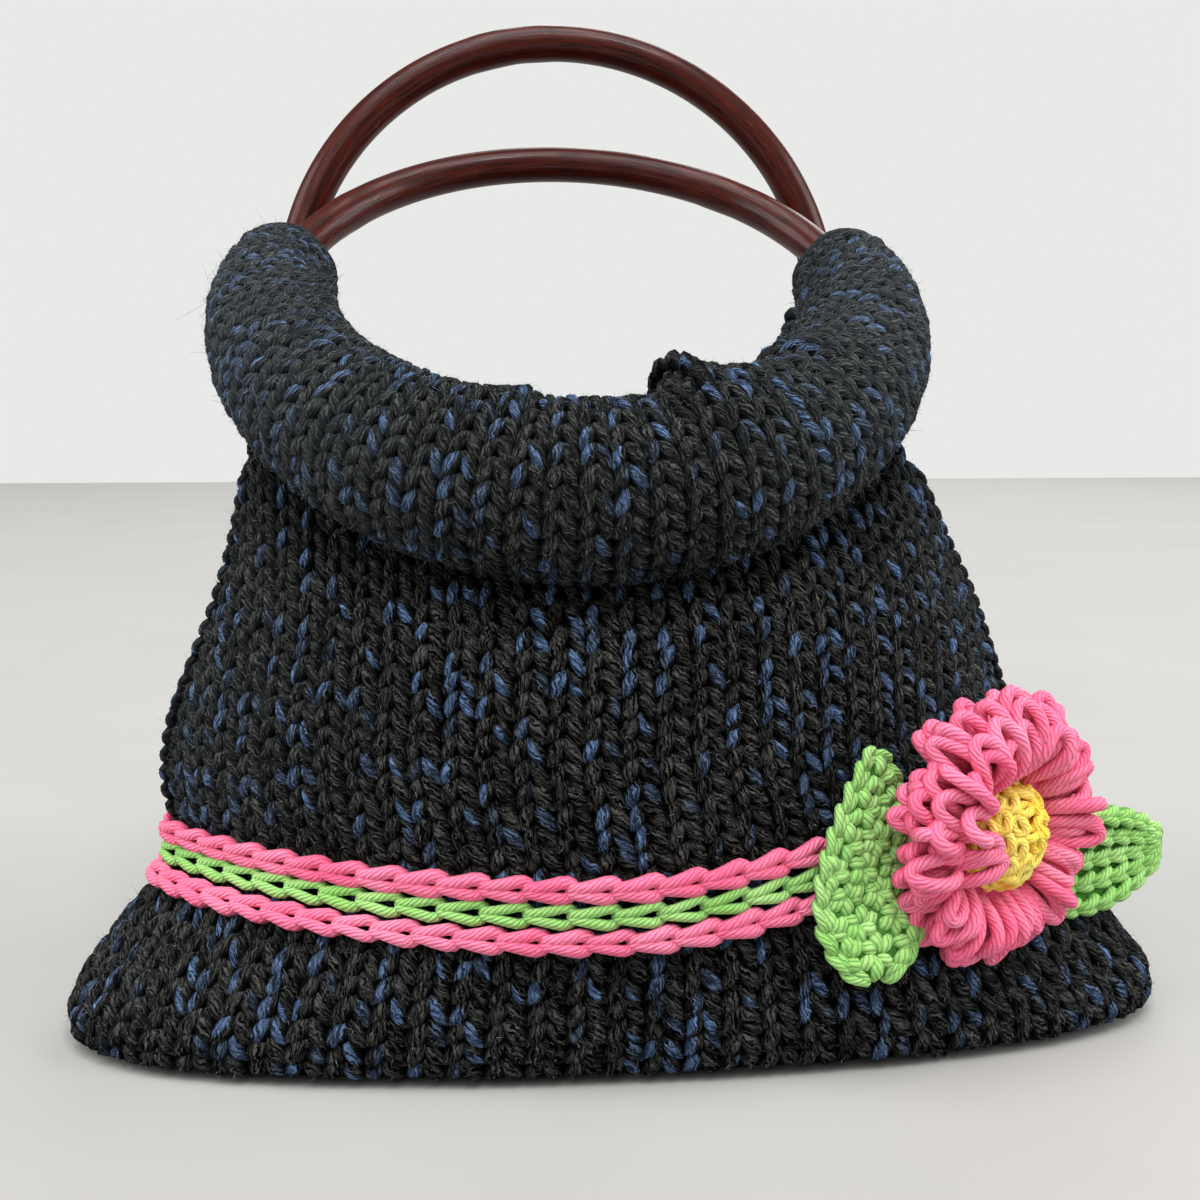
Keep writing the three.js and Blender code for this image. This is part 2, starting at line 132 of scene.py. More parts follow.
def yarnMaterial(name, look):
    fibre = yarnFibre
    material, tree = newMaterial(name)
    uv = addNode(tree, "UVMap", uv_map="strandWay")
    way = addNode(tree, "SeparateXYZ", [uv])
    along, around = way.outputs["X"], way.outputs["Y"]
    seed = addNode(tree, "Attribute", attribute_name="strandSeed").outputs["Fac"]
    place = addNode(tree, "TexCoord").outputs["Object"]
    drift = addNode(tree, "TexNoise", {"Vector": place, "Scale": 1 / (fibre["drift"] * mm), "Detail": 2.0})
    loose = addNode(tree, "Math", [drift, look["wander"], around], operation="MULTIPLY_ADD")
    wound = addNode(tree, "Math", [along, -1 / look["lay"], loose], operation="MULTIPLY_ADD")
    half = addNode(tree, "Math", [wound, math.pi * look["plies"]], operation="MULTIPLY")
    wave = addNode(tree, "Math", [half], operation="SINE")
    ply = addNode(tree, "Math", [wave], operation="ABSOLUTE")
    across = addNode(tree, "Math", [wound, fibre["round"] / fibre["width"]], operation="MULTIPLY")
    down = addNode(tree, "Math", [along, 1 / fibre["length"]], operation="MULTIPLY")
    shuffle = addNode(tree, "Math", [seed, fibre["shuffle"]], operation="MULTIPLY")
    fibrePlace = addNode(tree, "CombineXYZ", [across, down, shuffle])
    nap = addNode(tree, "TexNoise", {  # fibres along the plies, drawn 0.42 mm across so that they show
        "Vector": fibrePlace, "Scale": 1.0, "Detail": 3.0, "Roughness": 0.6})
    patch = addNode(tree, "TexNoise", {"Vector": place, "Scale": 1 / (fibre["dye"] * mm), "Detail": 2.0})
    tone = addNode(tree, "Math", [seed, fibre["seedTone"], patch], operation="MULTIPLY_ADD")
    pale = addNode(tree, "MapRange", {
        "Value": tone, "From Min": fibre["paleFrom"], "From Max": fibre["paleTo"],
        "To Min": 0.0, "To Max": 1.0})
    colour = addNode(tree, "Mix", {
        "Factor": pale, "A": linearColour(look["ply"]), "B": linearColour(look["pale"])}, data_type="RGBA")
    if "marl" in look:
        marl = look["marl"]
        pick = addNode(tree, "Math", [seed, marl["share"]], operation="LESS_THAN")
        spin = addNode(tree, "Math", [seed, marl["shuffle"][0]], operation="MULTIPLY")
        fromEnd = addNode(tree, "Math", [spin], operation="FRACT")
        middle = addNode(tree, "Math", [fromEnd, marl["spread"], marl["from"]], operation="MULTIPLY_ADD")
        spinSide = addNode(tree, "Math", [seed, marl["shuffle"][1]], operation="MULTIPLY")
        fromSide = addNode(tree, "Math", [spinSide], operation="FRACT")
        centre = addNode(tree, "Math", [fromSide, marl["sideSpread"], marl["side"]], operation="MULTIPLY_ADD")
        offAlong = addNode(tree, "Math", [along, middle], operation="SUBTRACT")
        reach = addNode(tree, "Math", [offAlong, marl["length"]], operation="DIVIDE")
        offSide = addNode(tree, "Math", [around, centre], operation="SUBTRACT")
        leaned = addNode(tree, "Math", [reach, marl["lean"], offSide], operation="MULTIPLY_ADD")
        side = addNode(tree, "Math", [leaned, marl["width"]], operation="DIVIDE")
        reachSq = addNode(tree, "Math", [reach, 2.0], operation="POWER")
        sideSq = addNode(tree, "Math", [side, side, reachSq], operation="MULTIPLY_ADD")
        frayed = addNode(tree, "Math", [nap, marl["fray"], sideSq], operation="MULTIPLY_ADD")
        spot = addNode(tree, "MapRange", {
            "Value": frayed, "From Min": marl["edge"][0], "From Max": marl["edge"][1],
            "To Min": 1.0, "To Max": 0.0})
        faint = addNode(tree, "Math", [fromSide, *marl["faint"]], operation="MULTIPLY_ADD")
        strong = addNode(tree, "Math", [faint, pick], operation="MULTIPLY")
        show = addNode(tree, "Math", [spot, strong], operation="MULTIPLY")
        blue = addNode(tree, "Mix", {
            "Factor": nap, "A": linearColour(marl["dark"]), "B": linearColour(marl["light"])},
            data_type="RGBA")
        colour = addNode(tree, "Mix", {"Factor": show, "A": colour, "B": blue}, data_type="RGBA")
    # painted shade: the grooves between the plies are darkened
    depth = addNode(tree, "MapRange", {
        "Value": ply, "From Min": look["crest"][0], "From Max": look["crest"][1],
        "To Min": look["furrow"], "To Max": 1.0})
    hair = addNode(tree, "Math", [nap, look["nap"][1], look["nap"][0]], operation="MULTIPLY_ADD")
    # painted shade: the strand is darkened towards its flanks
    offTop = addNode(tree, "Math", [around, 0.5], operation="SUBTRACT")
    aside = addNode(tree, "Math", [offTop], operation="ABSOLUTE")
    sunk = addNode(tree, "MapRange", {
        "Value": aside, "From Min": look["flank"][0], "From Max": look["flank"][1],
        "To Min": 1.0, "To Max": look["flank"][2]}, interpolation_type="SMOOTHSTEP")
    tuft = addNode(tree, "Math", [depth, hair], operation="MULTIPLY", use_clamp=True)
    shade = addNode(tree, "Math", [tuft, sunk], operation="MULTIPLY", use_clamp=True)
    if "marl" in look:  # the blue fibres lie on top, so the painted shade of the grooves and flanks cuts less into them
        shade = addNode(tree, "Math", [show, marl["lift"], shade], operation="MULTIPLY_ADD", use_clamp=True)
    # painted shade: the strand's colour goes towards the dark groove colour where the grooves and flanks are
    # shaded
    worn = addNode(tree, "Mix", {
        "Factor": shade, "A": linearColour(look["grooveShade"]), "B": colour}, data_type="RGBA")
    # painted light: a pale veil, standing for light on loose fibres, laid over the strand by each point's
    # share
    if "bloom" in look:
        paintedLight = addNode(tree, "Attribute", attribute_name="strandLitHaze").outputs["Fac"]
        worn = addNode(tree, "Mix", {
            "Factor": paintedLight, "A": worn, "B": linearColour(look["bloom"])}, data_type="RGBA")
    relief = addNode(tree, "Math", [nap, fibre["relief"], ply], operation="MULTIPLY_ADD")
    bump = addNode(tree, "Bump", {
        "Height": relief, "Strength": fibre["bump"], "Distance": look["relief"] * mm})
    shader = addNode(tree, "BsdfPrincipled", {
        "Base Color": worn, "Normal": bump, "Roughness": fibre["rough"],
        "Specular IOR Level": look["specular"],
        "Sheen Weight": look["sheen"], "Sheen Roughness": fibre["sheenRough"]})
    addNode(tree, "OutputMaterial", [shader])
    return material


# felted backing: the inner face of the fabric and what shows between the stitches, the same fibres coloured
# darker than the yarn as painted shade
felt = {"nap": 1.6, "depth": 0.8, "bump": 0.9, "rough": 0.95, "specular": 0.06}


def backingMaterial(name, deep, top):
    material, tree = newMaterial(name)
    place = addNode(tree, "TexCoord").outputs["Object"]
    nap = addNode(tree, "TexNoise", {"Vector": place, "Scale": 1 / (felt["nap"] * mm), "Detail": 4.0})
    tone = addNode(tree, "Mix", {
        "Factor": nap, "A": linearColour(deep), "B": linearColour(top)}, data_type="RGBA")
    bump = addNode(tree, "Bump", {"Height": nap, "Strength": felt["bump"], "Distance": felt["depth"] * mm})
    shader = addNode(tree, "BsdfPrincipled", {
        "Base Color": tone, "Normal": bump, "Roughness": felt["rough"],
        "Specular IOR Level": felt["specular"]})
    addNode(tree, "OutputMaterial", [shader])
    return material


# stained cane: bent, sanded and lacquered, dark pores run along it and the lacquer gives a soft glint
# pores are drawn 0.45 mm wide so that they show. bands and rubs: mm along, then how often round the cane
stainedCane = {
    "pore": "#080101", "deep": "#2a0c08", "stain": "#622218", "worn": "#b06a4e", "poreWidth": 0.45,
    "poreLength": 13.0, "bands": (60, 1.1), "rubs": (7, 2.2), "dark": (0.46, 0.6, 0.9),
    "rubbedAndLit": (0.66, 0.74, 0.6), "gloss": (0.36, 0.6, 0.14, 0.42), "bump": 0.3, "relief": 0.2,
    "specular": 0.17, "coat": 0.08, "coatRough": 0.12,
}


def caneMaterial(name, look, ringLength, caneRadius):
    material, tree = newMaterial(name)
    uv = addNode(tree, "UVMap", uv_map="caneWay")
    way = addNode(tree, "SeparateXYZ", [uv])
    turn = addNode(tree, "Math", [way.outputs["Y"], 2 * math.pi], operation="MULTIPLY")
    across = addNode(tree, "Math", [turn], operation="COSINE")
    lift = addNode(tree, "Math", [turn], operation="SINE")
    run = addNode(tree, "Math", [way.outputs["X"], ringLength], operation="MULTIPLY")
    flat = addNode(tree, "CombineXYZ", [run, across, lift])
    patterns = {}
    for pattern, length, often, detail, rough in (
            ("pores", look["poreLength"], caneRadius / look["poreWidth"], 4.0, 0.65),
            ("bands", *look["bands"], 3.0, 0.5), ("rubs", *look["rubs"], 5.0, 0.7)):
        spread = addNode(tree, "VectorMath", [flat, (1 / length, often, often)], operation="MULTIPLY")
        patterns[pattern] = addNode(tree, "TexNoise", {
            "Vector": spread, "Scale": 1.0, "Detail": detail, "Roughness": rough})
    pores = patterns["pores"]
    stain = addNode(tree, "Mix", {
        "Factor": patterns["bands"], "A": linearColour(look["deep"]), "B": linearColour(look["stain"])},
        data_type="RGBA")
    dark = addNode(tree, "MapRange", {
        "Value": pores, "From Min": look["dark"][0], "From Max": look["dark"][1],
        "To Min": 0.0, "To Max": look["dark"][2]})
    grained = addNode(tree, "Mix", {
        "Factor": dark, "A": stain, "B": linearColour(look["pore"])}, data_type="RGBA")
    rubbedAndLit = addNode(tree, "MapRange", {
        "Value": patterns["rubs"], "From Min": look["rubbedAndLit"][0], "From Max": look["rubbedAndLit"][1],
        "To Min": 0.0, "To Max": look["rubbedAndLit"][2]})
    worn = addNode(tree, "Mix", {
        "Factor": rubbedAndLit, "A": grained, "B": linearColour(look["worn"])}, data_type="RGBA")
    gloss = addNode(tree, "MapRange", {
        "Value": pores, "From Min": look["gloss"][0], "From Max": look["gloss"][1],
        "To Min": look["gloss"][2], "To Max": look["gloss"][3]})
    bump = addNode(tree, "Bump", {"Height": pores, "Strength": look["bump"], "Distance": look["relief"] * mm})
    shader = addNode(tree, "BsdfPrincipled", {
        "Base Color": worn, "Roughness": gloss, "Normal": bump, "Specular IOR Level": look["specular"],
        "Coat Weight": look["coat"], "Coat Roughness": look["coatRough"]})
    addNode(tree, "OutputMaterial", [shader])
    return material


charcoalYarn = yarnMaterial("charcoalWoolYarn", charcoalWool)
pinkYarn = yarnMaterial("pinkCottonYarn", pinkCotton)
greenYarn = yarnMaterial("greenCottonYarn", greenCotton)
yellowYarn = yarnMaterial("yellowCottonYarn", yellowCotton)
# painted shade: each backing is darker than its yarn, so what shows between stitches, loops and bobbles reads
# as shade
knitBacking = backingMaterial("charcoalWoolShadeFelt", "#020203", "#0e0f11")
leafBacking = backingMaterial("greenCottonShadeFelt", "#2f5c20", "#5a9440")
pinkBacking = backingMaterial("pinkCottonShadeFelt", "#a02c50", "#e0557f")
yellowBacking = backingMaterial("yellowCottonShadeFelt", "#ea9c12", "#ffc736")
print("yarn and felt materials made")


# every way in an array of ways brought to length one
def unit(way):
    return way / (np.linalg.norm(way, axis=-1, keepdims=True) + 1e-9)


def placePiece(name, mesh, material):
    mesh.materials.append(material)
    piece = bpy.data.objects.new(name, mesh)
    bpy.context.scene.collection.objects.link(piece)
    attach(piece, "root")
    return piece


def markPoints(mesh, name, values):
    layer = mesh.attributes.new(name, "FLOAT", "POINT")
    layer.data.foreach_set("value", values.astype(np.float32))


# strands: many short tubes in one mesh. path, out: (strand, point, xyz) in mm, wide and deep: half sizes
def layStrands(name, path, out, wide, deep, sides, material, bloom=None, closed=False):
    count, points = path.shape[:2]
    if closed:
        tangent = np.roll(path, -1, axis=1) - np.roll(path, 1, axis=1)
    else:
        tangent = np.gradient(path, axis=1)
    tangent = unit(tangent)
    side = unit(np.cross(tangent, out))
    rise = np.cross(side, tangent)
    turn = 2 * np.pi * np.arange(sides) / sides - np.pi / 2  # the seam lies underneath
    ring = (path[:, :, None] + side[:, :, None] * (wide[..., None] * np.cos(turn))[..., None]
            + rise[:, :, None] * (deep[..., None] * np.sin(turn))[..., None])
    ring[..., 2] = np.maximum(ring[..., 2], 0.2)
    steps = np.linalg.norm(np.diff(path, axis=1), axis=2)
    along = np.concatenate([np.zeros((count, 1)), np.cumsum(steps, axis=1)], axis=1)
    spans = points if closed else points - 1
    i, k = np.meshgrid(np.arange(spans), np.arange(sides), indexing="ij")
    nextI, nextK = (i + 1) % points, (k + 1) % sides
    quad = np.stack([i * sides + k, nextI * sides + k, nextI * sides + nextK, i * sides + nextK], -1)
    first = np.arange(count)[:, None, None] * points * sides
    quads = (first + quad.reshape(-1, 4)[None]).reshape(-1, 4)
    lastAlong = along[:, -1:] + np.linalg.norm(path[:, 0] - path[:, -1], axis=1)[:, None]
    alongEnd = np.concatenate([along[:, 1:], lastAlong], axis=1) if closed else along[:, 1:]
    alongStart = along if closed else along[:, :-1]
    u0 = np.repeat(alongStart[:, :, None], sides, axis=2)
    u1 = np.repeat(alongEnd[:, :, None], sides, axis=2)
    v0 = np.broadcast_to(k / sides, u0.shape)
    v1 = v0 + 1 / sides
    uvQuads = np.stack([np.stack([u0, v0], -1), np.stack([u1, v0], -1),
                        np.stack([u1, v1], -1), np.stack([u0, v1], -1)], axis=3).reshape(-1, 2)
    loops, totals, uvs = [quads.ravel()], [np.full(len(quads), 4)], [uvQuads]
    if not closed:
        for ringIndex, order in ((0, np.arange(sides)), (points - 1, np.arange(sides)[::-1])):
            cap = first[:, :, 0] + ringIndex * sides + order[None]
            loops.append(cap.ravel())
            totals.append(np.full(count, sides))
            capAlong = np.repeat(along[:, ringIndex], sides)
            uvs.append(np.stack([capAlong, np.tile(order / sides, count)], -1))
    loops, totals, uvs = np.concatenate(loops), np.concatenate(totals), np.concatenate(uvs)
    mesh = bpy.data.meshes.new(name)
    mesh.vertices.add(count * points * sides)
    mesh.vertices.foreach_set("co", ((ring.reshape(-1, 3) + bagShift) * mm).astype(np.float32).ravel())
    mesh.loops.add(len(loops))
    mesh.loops.foreach_set("vertex_index", loops.astype(np.int32))
    mesh.polygons.add(len(totals))
    mesh.polygons.foreach_set("loop_start", np.concatenate([[0], np.cumsum(totals)[:-1]]).astype(np.int32))
    mesh.polygons.foreach_set("loop_total", totals.astype(np.int32))
    mesh.update(calc_edges=True)
    mesh.uv_layers.new(name="strandWay").data.foreach_set("uv", uvs.astype(np.float32).ravel())
    markPoints(mesh, "strandSeed", np.repeat(rng.random(count), points * sides))
    # each point's share of the pale veil of painted light
    if bloom is not None:
        markPoints(mesh, "strandLitHaze", np.repeat(bloom.ravel(), sides))
    mesh.polygons.foreach_set("use_smooth", np.ones(len(totals), dtype=bool))
    return placePiece(name, mesh, material)


# a column of a table, smooth at any place along its first column
def readTable(rows, column, at):
    key, value = rows[:, 0], rows[:, column]
    i = np.clip(np.searchsorted(key, at, side="left") - 1, 0, len(key) - 2)
    before, after = np.maximum(i - 1, 0), np.minimum(i + 2, len(key) - 1)
    span = key[i + 1] - key[i]
    t = np.clip((at - key[i]) / span, 0, 1)
    a, b = value[i], value[i + 1]
    here = (b - value[before]) / (key[i + 1] - key[before]) * span
    there = (value[after] - a) / (key[after] - key[i]) * span
    return a + t * (here + t * (3 * (b - a) - 2 * here - there + t * (2 * (a - b) + here + there)))


# the pouch: height, left, right, front, back, lens of its plan
pouch = {
    "sections": np.array([
        [0, -136, 146, 57, 57, 0.24], [4, -142, 152.5, 60, 60, 0.26], [12, -142, 153, 62, 62, 0.3],
        [21, -135.5, 146.5, 62, 62, 0.4], [30, -128.5, 140, 62, 62, 0.53], [38, -120.5, 132, 61.5, 62, 0.7],
        [47, -116.5, 127, 61, 62, 0.84], [64, -119.5, 124, 60.5, 62, 0.9], [80, -117.5, 117, 59.5, 62, 0.9],
        [97, -111, 111, 57.5, 61.5, 0.85], [113, -104.5, 105, 53.5, 60.5, 0.8],
        [129, -99.5, 97, 47, 60, 0.75], [145, -96, 89.5, 41, 60, 0.7],
        [155, -94.5, 83, 38, 60, 0.7]], dtype=float),
    "rim": {"front": 144.0, "side": 153.0, "back": 119.0},
    "climb": {"from": -5.0, "to": 105.0, "rise": 12.0, "heights": [0, 30, 62, 135], "share": [0, 1, 1, 0]},
    "wale": 8.9, "row": 5.3, "sunk": 2.0, "endShrink": 1.45,
    "crease": {"deep": 13.0, "wide": 17.0, "seam": 25.0},
}


def pouchPoint(around, height, shrink=0.0):
    rows = pouch["sections"]
    front = around < 0.5
    side = np.where(front, 4 * around - 1, 3 - 4 * around)
    left = readTable(rows, 1, height) + pouch["endShrink"] * shrink
    right = readTable(rows, 2, height) - pouch["endShrink"] * shrink
    reach = np.where(front, readTable(rows, 3, height), readTable(rows, 4, height)) - shrink
    turn = np.pi / 2 * side
    depth = reach * np.maximum(np.cos(turn), 0) ** (2 * readTable(rows, 5, height))
    x = (left + right) / 2 + (right - left) / 2 * np.sin(turn)
    return np.stack([x, np.where(front, -depth, depth), height + 0 * x], -1)


def rimAt(around):
    low = np.where(around < 0.5, pouch["rim"]["front"], pouch["rim"]["back"])
    return pouch["rim"]["side"] + (low - pouch["rim"]["side"]) * np.sin(2 * np.pi * around) ** 2


# the chain lines climb to the right, and the rows of stitches near them go with them
def climbAt(x):
    climb = pouch["climb"]
    t = np.clip((x - climb["from"]) / (climb["to"] - climb["from"]), 0, 1)
    return climb["rise"] * t * t * (3 - 2 * t)


# lengths along each panel, so that the columns of stitches are evenly spaced on the curved wall
wallGrid = {"top": 155.0, "heights": 62, "around": 360, "shares": 200, "trueAt": 47.0, "widen": 0.35}


def panelLengths(start):
    heights = np.linspace(0, wallGrid["top"], wallGrid["heights"] + 1)
    around = np.linspace(start, start + 0.5, wallGrid["around"] + 1)
    shares = np.linspace(-0.5, 0.5, wallGrid["shares"] + 1)
    lengths, places = [], []
    for height in heights:
        line = pouchPoint(np.clip(around, 1e-6, 1 - 1e-6), np.full(len(around), height))
        if start == 0:
            line[-1, 1] = 0
        run = np.concatenate([[0], np.cumsum(np.linalg.norm(np.diff(line, axis=0), axis=1))])
        lengths.append(run[-1])
        places.append(np.interp(shares, run / run[-1] - 0.5, around))
    return {"heights": heights, "lengths": np.array(lengths), "places": np.array(places)}


panels = {"front": panelLengths(0.0), "back": panelLengths(0.5)}
trueLength = float(np.interp(wallGrid["trueAt"], panels["front"]["heights"], panels["front"]["lengths"]))


# a point of the knitted wall, counted in columns from the panel's middle and rows from the base
def wallPoint(panel, column, row, shrink=0.0, edges=False):
    table = panels[panel]
    raw = np.clip(row * pouch["row"], 0.4, wallGrid["top"])
    length = np.interp(raw, table["heights"], table["lengths"])
    spacing = pouch["wale"] * (length / trueLength) ** wallGrid["widen"]
    share = column * spacing / length
    h = np.clip(raw / wallGrid["top"] * wallGrid["heights"], 0, wallGrid["heights"] - 0.001)
    s = np.clip((share + 0.5) * wallGrid["shares"], 0, wallGrid["shares"] - 0.001)
    hi, si = h.astype(int), s.astype(int)
    hf, sf = h - hi, s - si
    p = table["places"]
    around = ((p[hi, si] * (1 - sf) + p[hi, si + 1] * sf) * (1 - hf)
              + (p[hi + 1, si] * (1 - sf) + p[hi + 1, si + 1] * sf) * hf)
    begin = 0.0 if panel == "front" else 0.5
    around = np.clip(around, begin + 1e-5, begin + 0.5 - 1e-5)
    fade = np.interp(raw, pouch["climb"]["heights"], pouch["climb"]["share"])
    height = raw + fade * climbAt(pouchPoint(around, raw)[..., 0])
    point = drawnUnder(panel, pouchPoint(around, np.minimum(height, wallGrid["top"]), shrink))
    return (point, around, share) if edges else point


# the fabric folds in under the roll of its casing
def drawnUnder(panel, point):
    crease = pouch["crease"]
    gap = np.clip(-rollDepth(casings[panel], point), 0, None)
    offSeam = np.clip(np.abs(point[..., 1]) / crease["seam"], 0, 1)
    fold = crease["deep"] * np.clip(1 - gap / crease["wide"], 0, 1) * offSeam
    point[..., 1] += fold if panel == "front" else -fold
    return point


# the two rolled casings. roll: swing in degrees, radius, inset of the roll's centre from the cane
# gathers: swing, height and reach of a fold in the roll, a steep edge and a long fall
casings = {
    "front": {"y": 24.5, "z": 191.0, "lean": 53.0, "columns": 42, "rows": 25, "node": "casing_front",
              "roll": np.array([[0, 23, 5], [45, 21.2, 4], [90, 17.3, 0.5], [106, 14.2, 0]], dtype=float),
              "gathers": [(21, 9.5, 24), (-14, 2.5, -16), (52, 2.5, 20)]},
    "back": {"y": 74.0, "z": 196.0, "lean": 10.0, "columns": 34, "rows": 20, "node": "casing_back",
             "roll": np.array([[0, 21, 5], [45, 19, 4], [72, 14.5, 1], [88, 10.5, 0]], dtype=float),
             "gathers": []},
}
gather = {"edge": 3.4, "fall": 1.5, "turn": math.radians(150), "round": 1.1}
ring = {"radius": 83.2, "cane": 5.45, "x": -6.0}


def ringMatrix(place):
    turn = math.pi / 2 - math.radians(place["lean"])
    return np.array(Euler((turn, 0, 0)).to_matrix()), np.array([ring["x"], place["y"], place["z"]])


def rollRadius(place, swing, turn):
    radius = readTable(place["roll"], 1, np.abs(swing))
    lift = np.zeros_like(swing)
    for at, height, reach in place["gathers"]:
        past = (swing - at) / reach
        rising = np.clip(1 + past / (gather["edge"] / abs(reach)), 0, 1)
        lift += np.where(past < 0, rising, np.clip(1 - past, 0, 1) ** gather["fall"]) * height
    return radius + lift * np.maximum(np.cos(turn - gather["turn"]), 0) ** gather["round"]


def rollPoint(place, swing, turn, grow=0.0):
    rotate, at = ringMatrix(place)
    angle = np.radians(swing)
    away = np.stack([np.sin(angle), -np.cos(angle), 0 * angle], -1)
    inset = readTable(place["roll"], 2, np.abs(swing))
    radius = rollRadius(place, swing, turn) + grow
    local = away * (ring["radius"] - inset + radius * np.cos(turn))[..., None]
    local[..., 2] += radius * np.sin(turn)
    return local @ rotate.T + at


def rollDepth(place, points):
    rotate, at = ringMatrix(place)
    local = (points - at) @ rotate
    swing = np.degrees(np.arctan2(local[..., 0], -local[..., 1]))
    inset = readTable(place["roll"], 2, np.abs(swing))
    out = np.hypot(local[..., 0], local[..., 1]) - (ring["radius"] - inset)
    turn = np.arctan2(local[..., 2], out)
    inside = rollRadius(place, np.clip(swing, -180, 180), turn) - np.hypot(out, local[..., 2])
    return np.where(np.abs(swing) > place["roll"][-1, 0], -50.0, inside)


# one plain stitch: two fat legs that rise out of the stitch below, part, and dive behind the next
stitch = {
    "points": 7, "sides": 7, "foot": 0.1, "spread": 0.31, "start": -0.42, "length": 1.5, "wide": 0.28,
    "deep": 1.9, "arch": 2.0, "tuck": 1.6, "taper": 0.66, "spacing": (5.0, 11.5),
    "uneven": {"column": 0.025, "row": 0.05, "fat": 0.05, "lift": 0.18},
}


# the ways along a row and up a column of a fabric
def fabricWays(surface, a, b):
    return surface(a + 0.1, b) - surface(a - 0.1, b), surface(a, b + 0.12) - surface(a, b - 0.12)


def stitchLegs(surface, columns, rows, sunk, points=None, jitter=1.0):
    t = np.linspace(0, 1, points or stitch["points"])
    ease = t * t * (3 - 2 * t)
    bow = np.sin(np.pi * t) ** 0.8
    legs = {"path": [], "out": [], "wide": [], "deep": []}
    uneven, each = stitch["uneven"], (len(columns), 1)
    for hand in (-1, 1):
        shift = rng.normal(0, uneven["column"] * jitter, each)
        a = columns[:, None] + shift + hand * (stitch["foot"] + stitch["spread"] * ease)[None]
        b = rows[:, None] + rng.normal(0, uneven["row"] * jitter, each)
        b = b + (stitch["start"] + stitch["length"] * t)[None]
        along, up = fabricWays(surface, a, b)
        out = unit(np.cross(along, up))
        spacing = np.clip(np.linalg.norm(along, axis=2) / 0.2, *stitch["spacing"])
        fat = 1 + rng.normal(0, uneven["fat"] * jitter, each)
        swell = stitch["taper"] + (1 - stitch["taper"]) * bow[None]
        lift = stitch["arch"] * bow[None] - stitch["tuck"] - sunk
        lift = lift + rng.normal(0, uneven["lift"] * jitter, each)
        legs["path"].append(surface(a, b) + out * lift[..., None])
        legs["out"].append(out)
        legs["wide"].append(stitch["wide"] * spacing * swell * fat)
        legs["deep"].append(stitch["deep"] * swell * fat)
    return {key: np.concatenate(value) for key, value in legs.items()}


def knitPiece(name, legs, sides=None):
    return layStrands(name, legs["path"], legs["out"], legs["wide"], legs["deep"],
                      sides or stitch["sides"], charcoalYarn, legs.get("bloom"))


# rubbedAndLit: how strongly a pale veil of painted light, standing for light falling on loose fibres, lies on
# the strands at the sides of the pouch, on the rolls and at their ends
rubbedAndLit = {"side": 0.07, "roll": 0.03, "end": 0.15, "wide": 110.0, "high": 90.0, "rollSpan": (30, 90)}
# knit: columns each way from the middle, rows, and where the wall's stitches stop
knit = {
    "columns": 24, "rows": 29, "from": 0.45, "edge": 0.497, "overRim": 1.0, "hidden": 4.0,
    "low": 4.0, "leastLow": 0.3, "offFloor": 0.3, "rollSunk": 1.6, "rollShort": 5.0,
}
wallKnit, woolLegs = {}, []
for panel in ("front", "back"):
    across, up = np.arange(-knit["columns"], knit["columns"] + 1), np.arange(knit["rows"])
    columns, rows = np.meshgrid(across, up, indexing="ij")
    columns, rows = columns.ravel().astype(float), rows.ravel() + knit["from"]
    point, around, share = wallPoint(panel, columns, rows, edges=True)
    covered = np.maximum(rollDepth(casings["front"], point), rollDepth(casings["back"], point))
    below = rows * pouch["row"] < rimAt(around) + knit["overRim"]
    keep = (np.abs(share) < knit["edge"]) & below & (covered <= knit["hidden"])
    legs = stitchLegs(lambda a, b, p=panel: wallPoint(p, a, b), columns[keep], rows[keep], pouch["sunk"])
    foot = np.clip(legs["path"][..., 2] / knit["low"], knit["leastLow"], 1)  # thinner where the bag stands
    legs["wide"], legs["deep"] = legs["wide"] * foot, legs["deep"] * foot
    least = np.maximum(legs["wide"], legs["deep"]) + knit["offFloor"]
    legs["path"][..., 2] = np.maximum(legs["path"][..., 2], least)
    # painted light: the pale veil grows towards the sides of the pouch and upwards
    aside = np.clip(np.abs(legs["path"][..., 0]) / rubbedAndLit["wide"], 0, 1)
    legs["bloom"] = rubbedAndLit["side"] * aside ** 3 * np.clip(legs["path"][..., 2] / rubbedAndLit["high"], 0, 1)
    woolLegs.append(legs)
    wallKnit[panel] = knitPiece("knitWall" + panel.capitalize(), legs)
    print("knitted", panel, "wall:", int(keep.sum()), "stitches")
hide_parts("bag_body")


def rollSurface(side):
    place = casings[side]
    span = 2 * place["roll"][-1, 0] - knit["rollShort"]
    hand = 1 if side == "front" else -1

    def surface(column, row):
        swing = hand * (column / place["columns"] - 0.5) * span
        turn = hand * 2 * np.pi * row / place["rows"]
        return rollPoint(place, swing, turn)
    return surface


for side in ("front", "back"):
    place = casings[side]
    columns, rows = np.meshgrid(np.arange(place["columns"]) + 0.5, np.arange(place["rows"]), indexing="ij")
    columns, rows = columns.ravel(), rows.ravel().astype(float)
    legs = stitchLegs(rollSurface(side), columns, rows, knit["rollSunk"])
    # painted light: the pale veil grows towards the ends of the casing
    aside = np.abs(legs["path"][..., 0] - ring["x"])
    legs["bloom"] = np.interp(aside, rubbedAndLit["rollSpan"], [rubbedAndLit["roll"], rubbedAndLit["end"]])
    woolLegs.append(legs)
    piece = knitPiece("knitCasing" + side.capitalize(), legs)
    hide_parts(place["node"])
    print("knitted", side, "casing:", len(columns), "stitches")


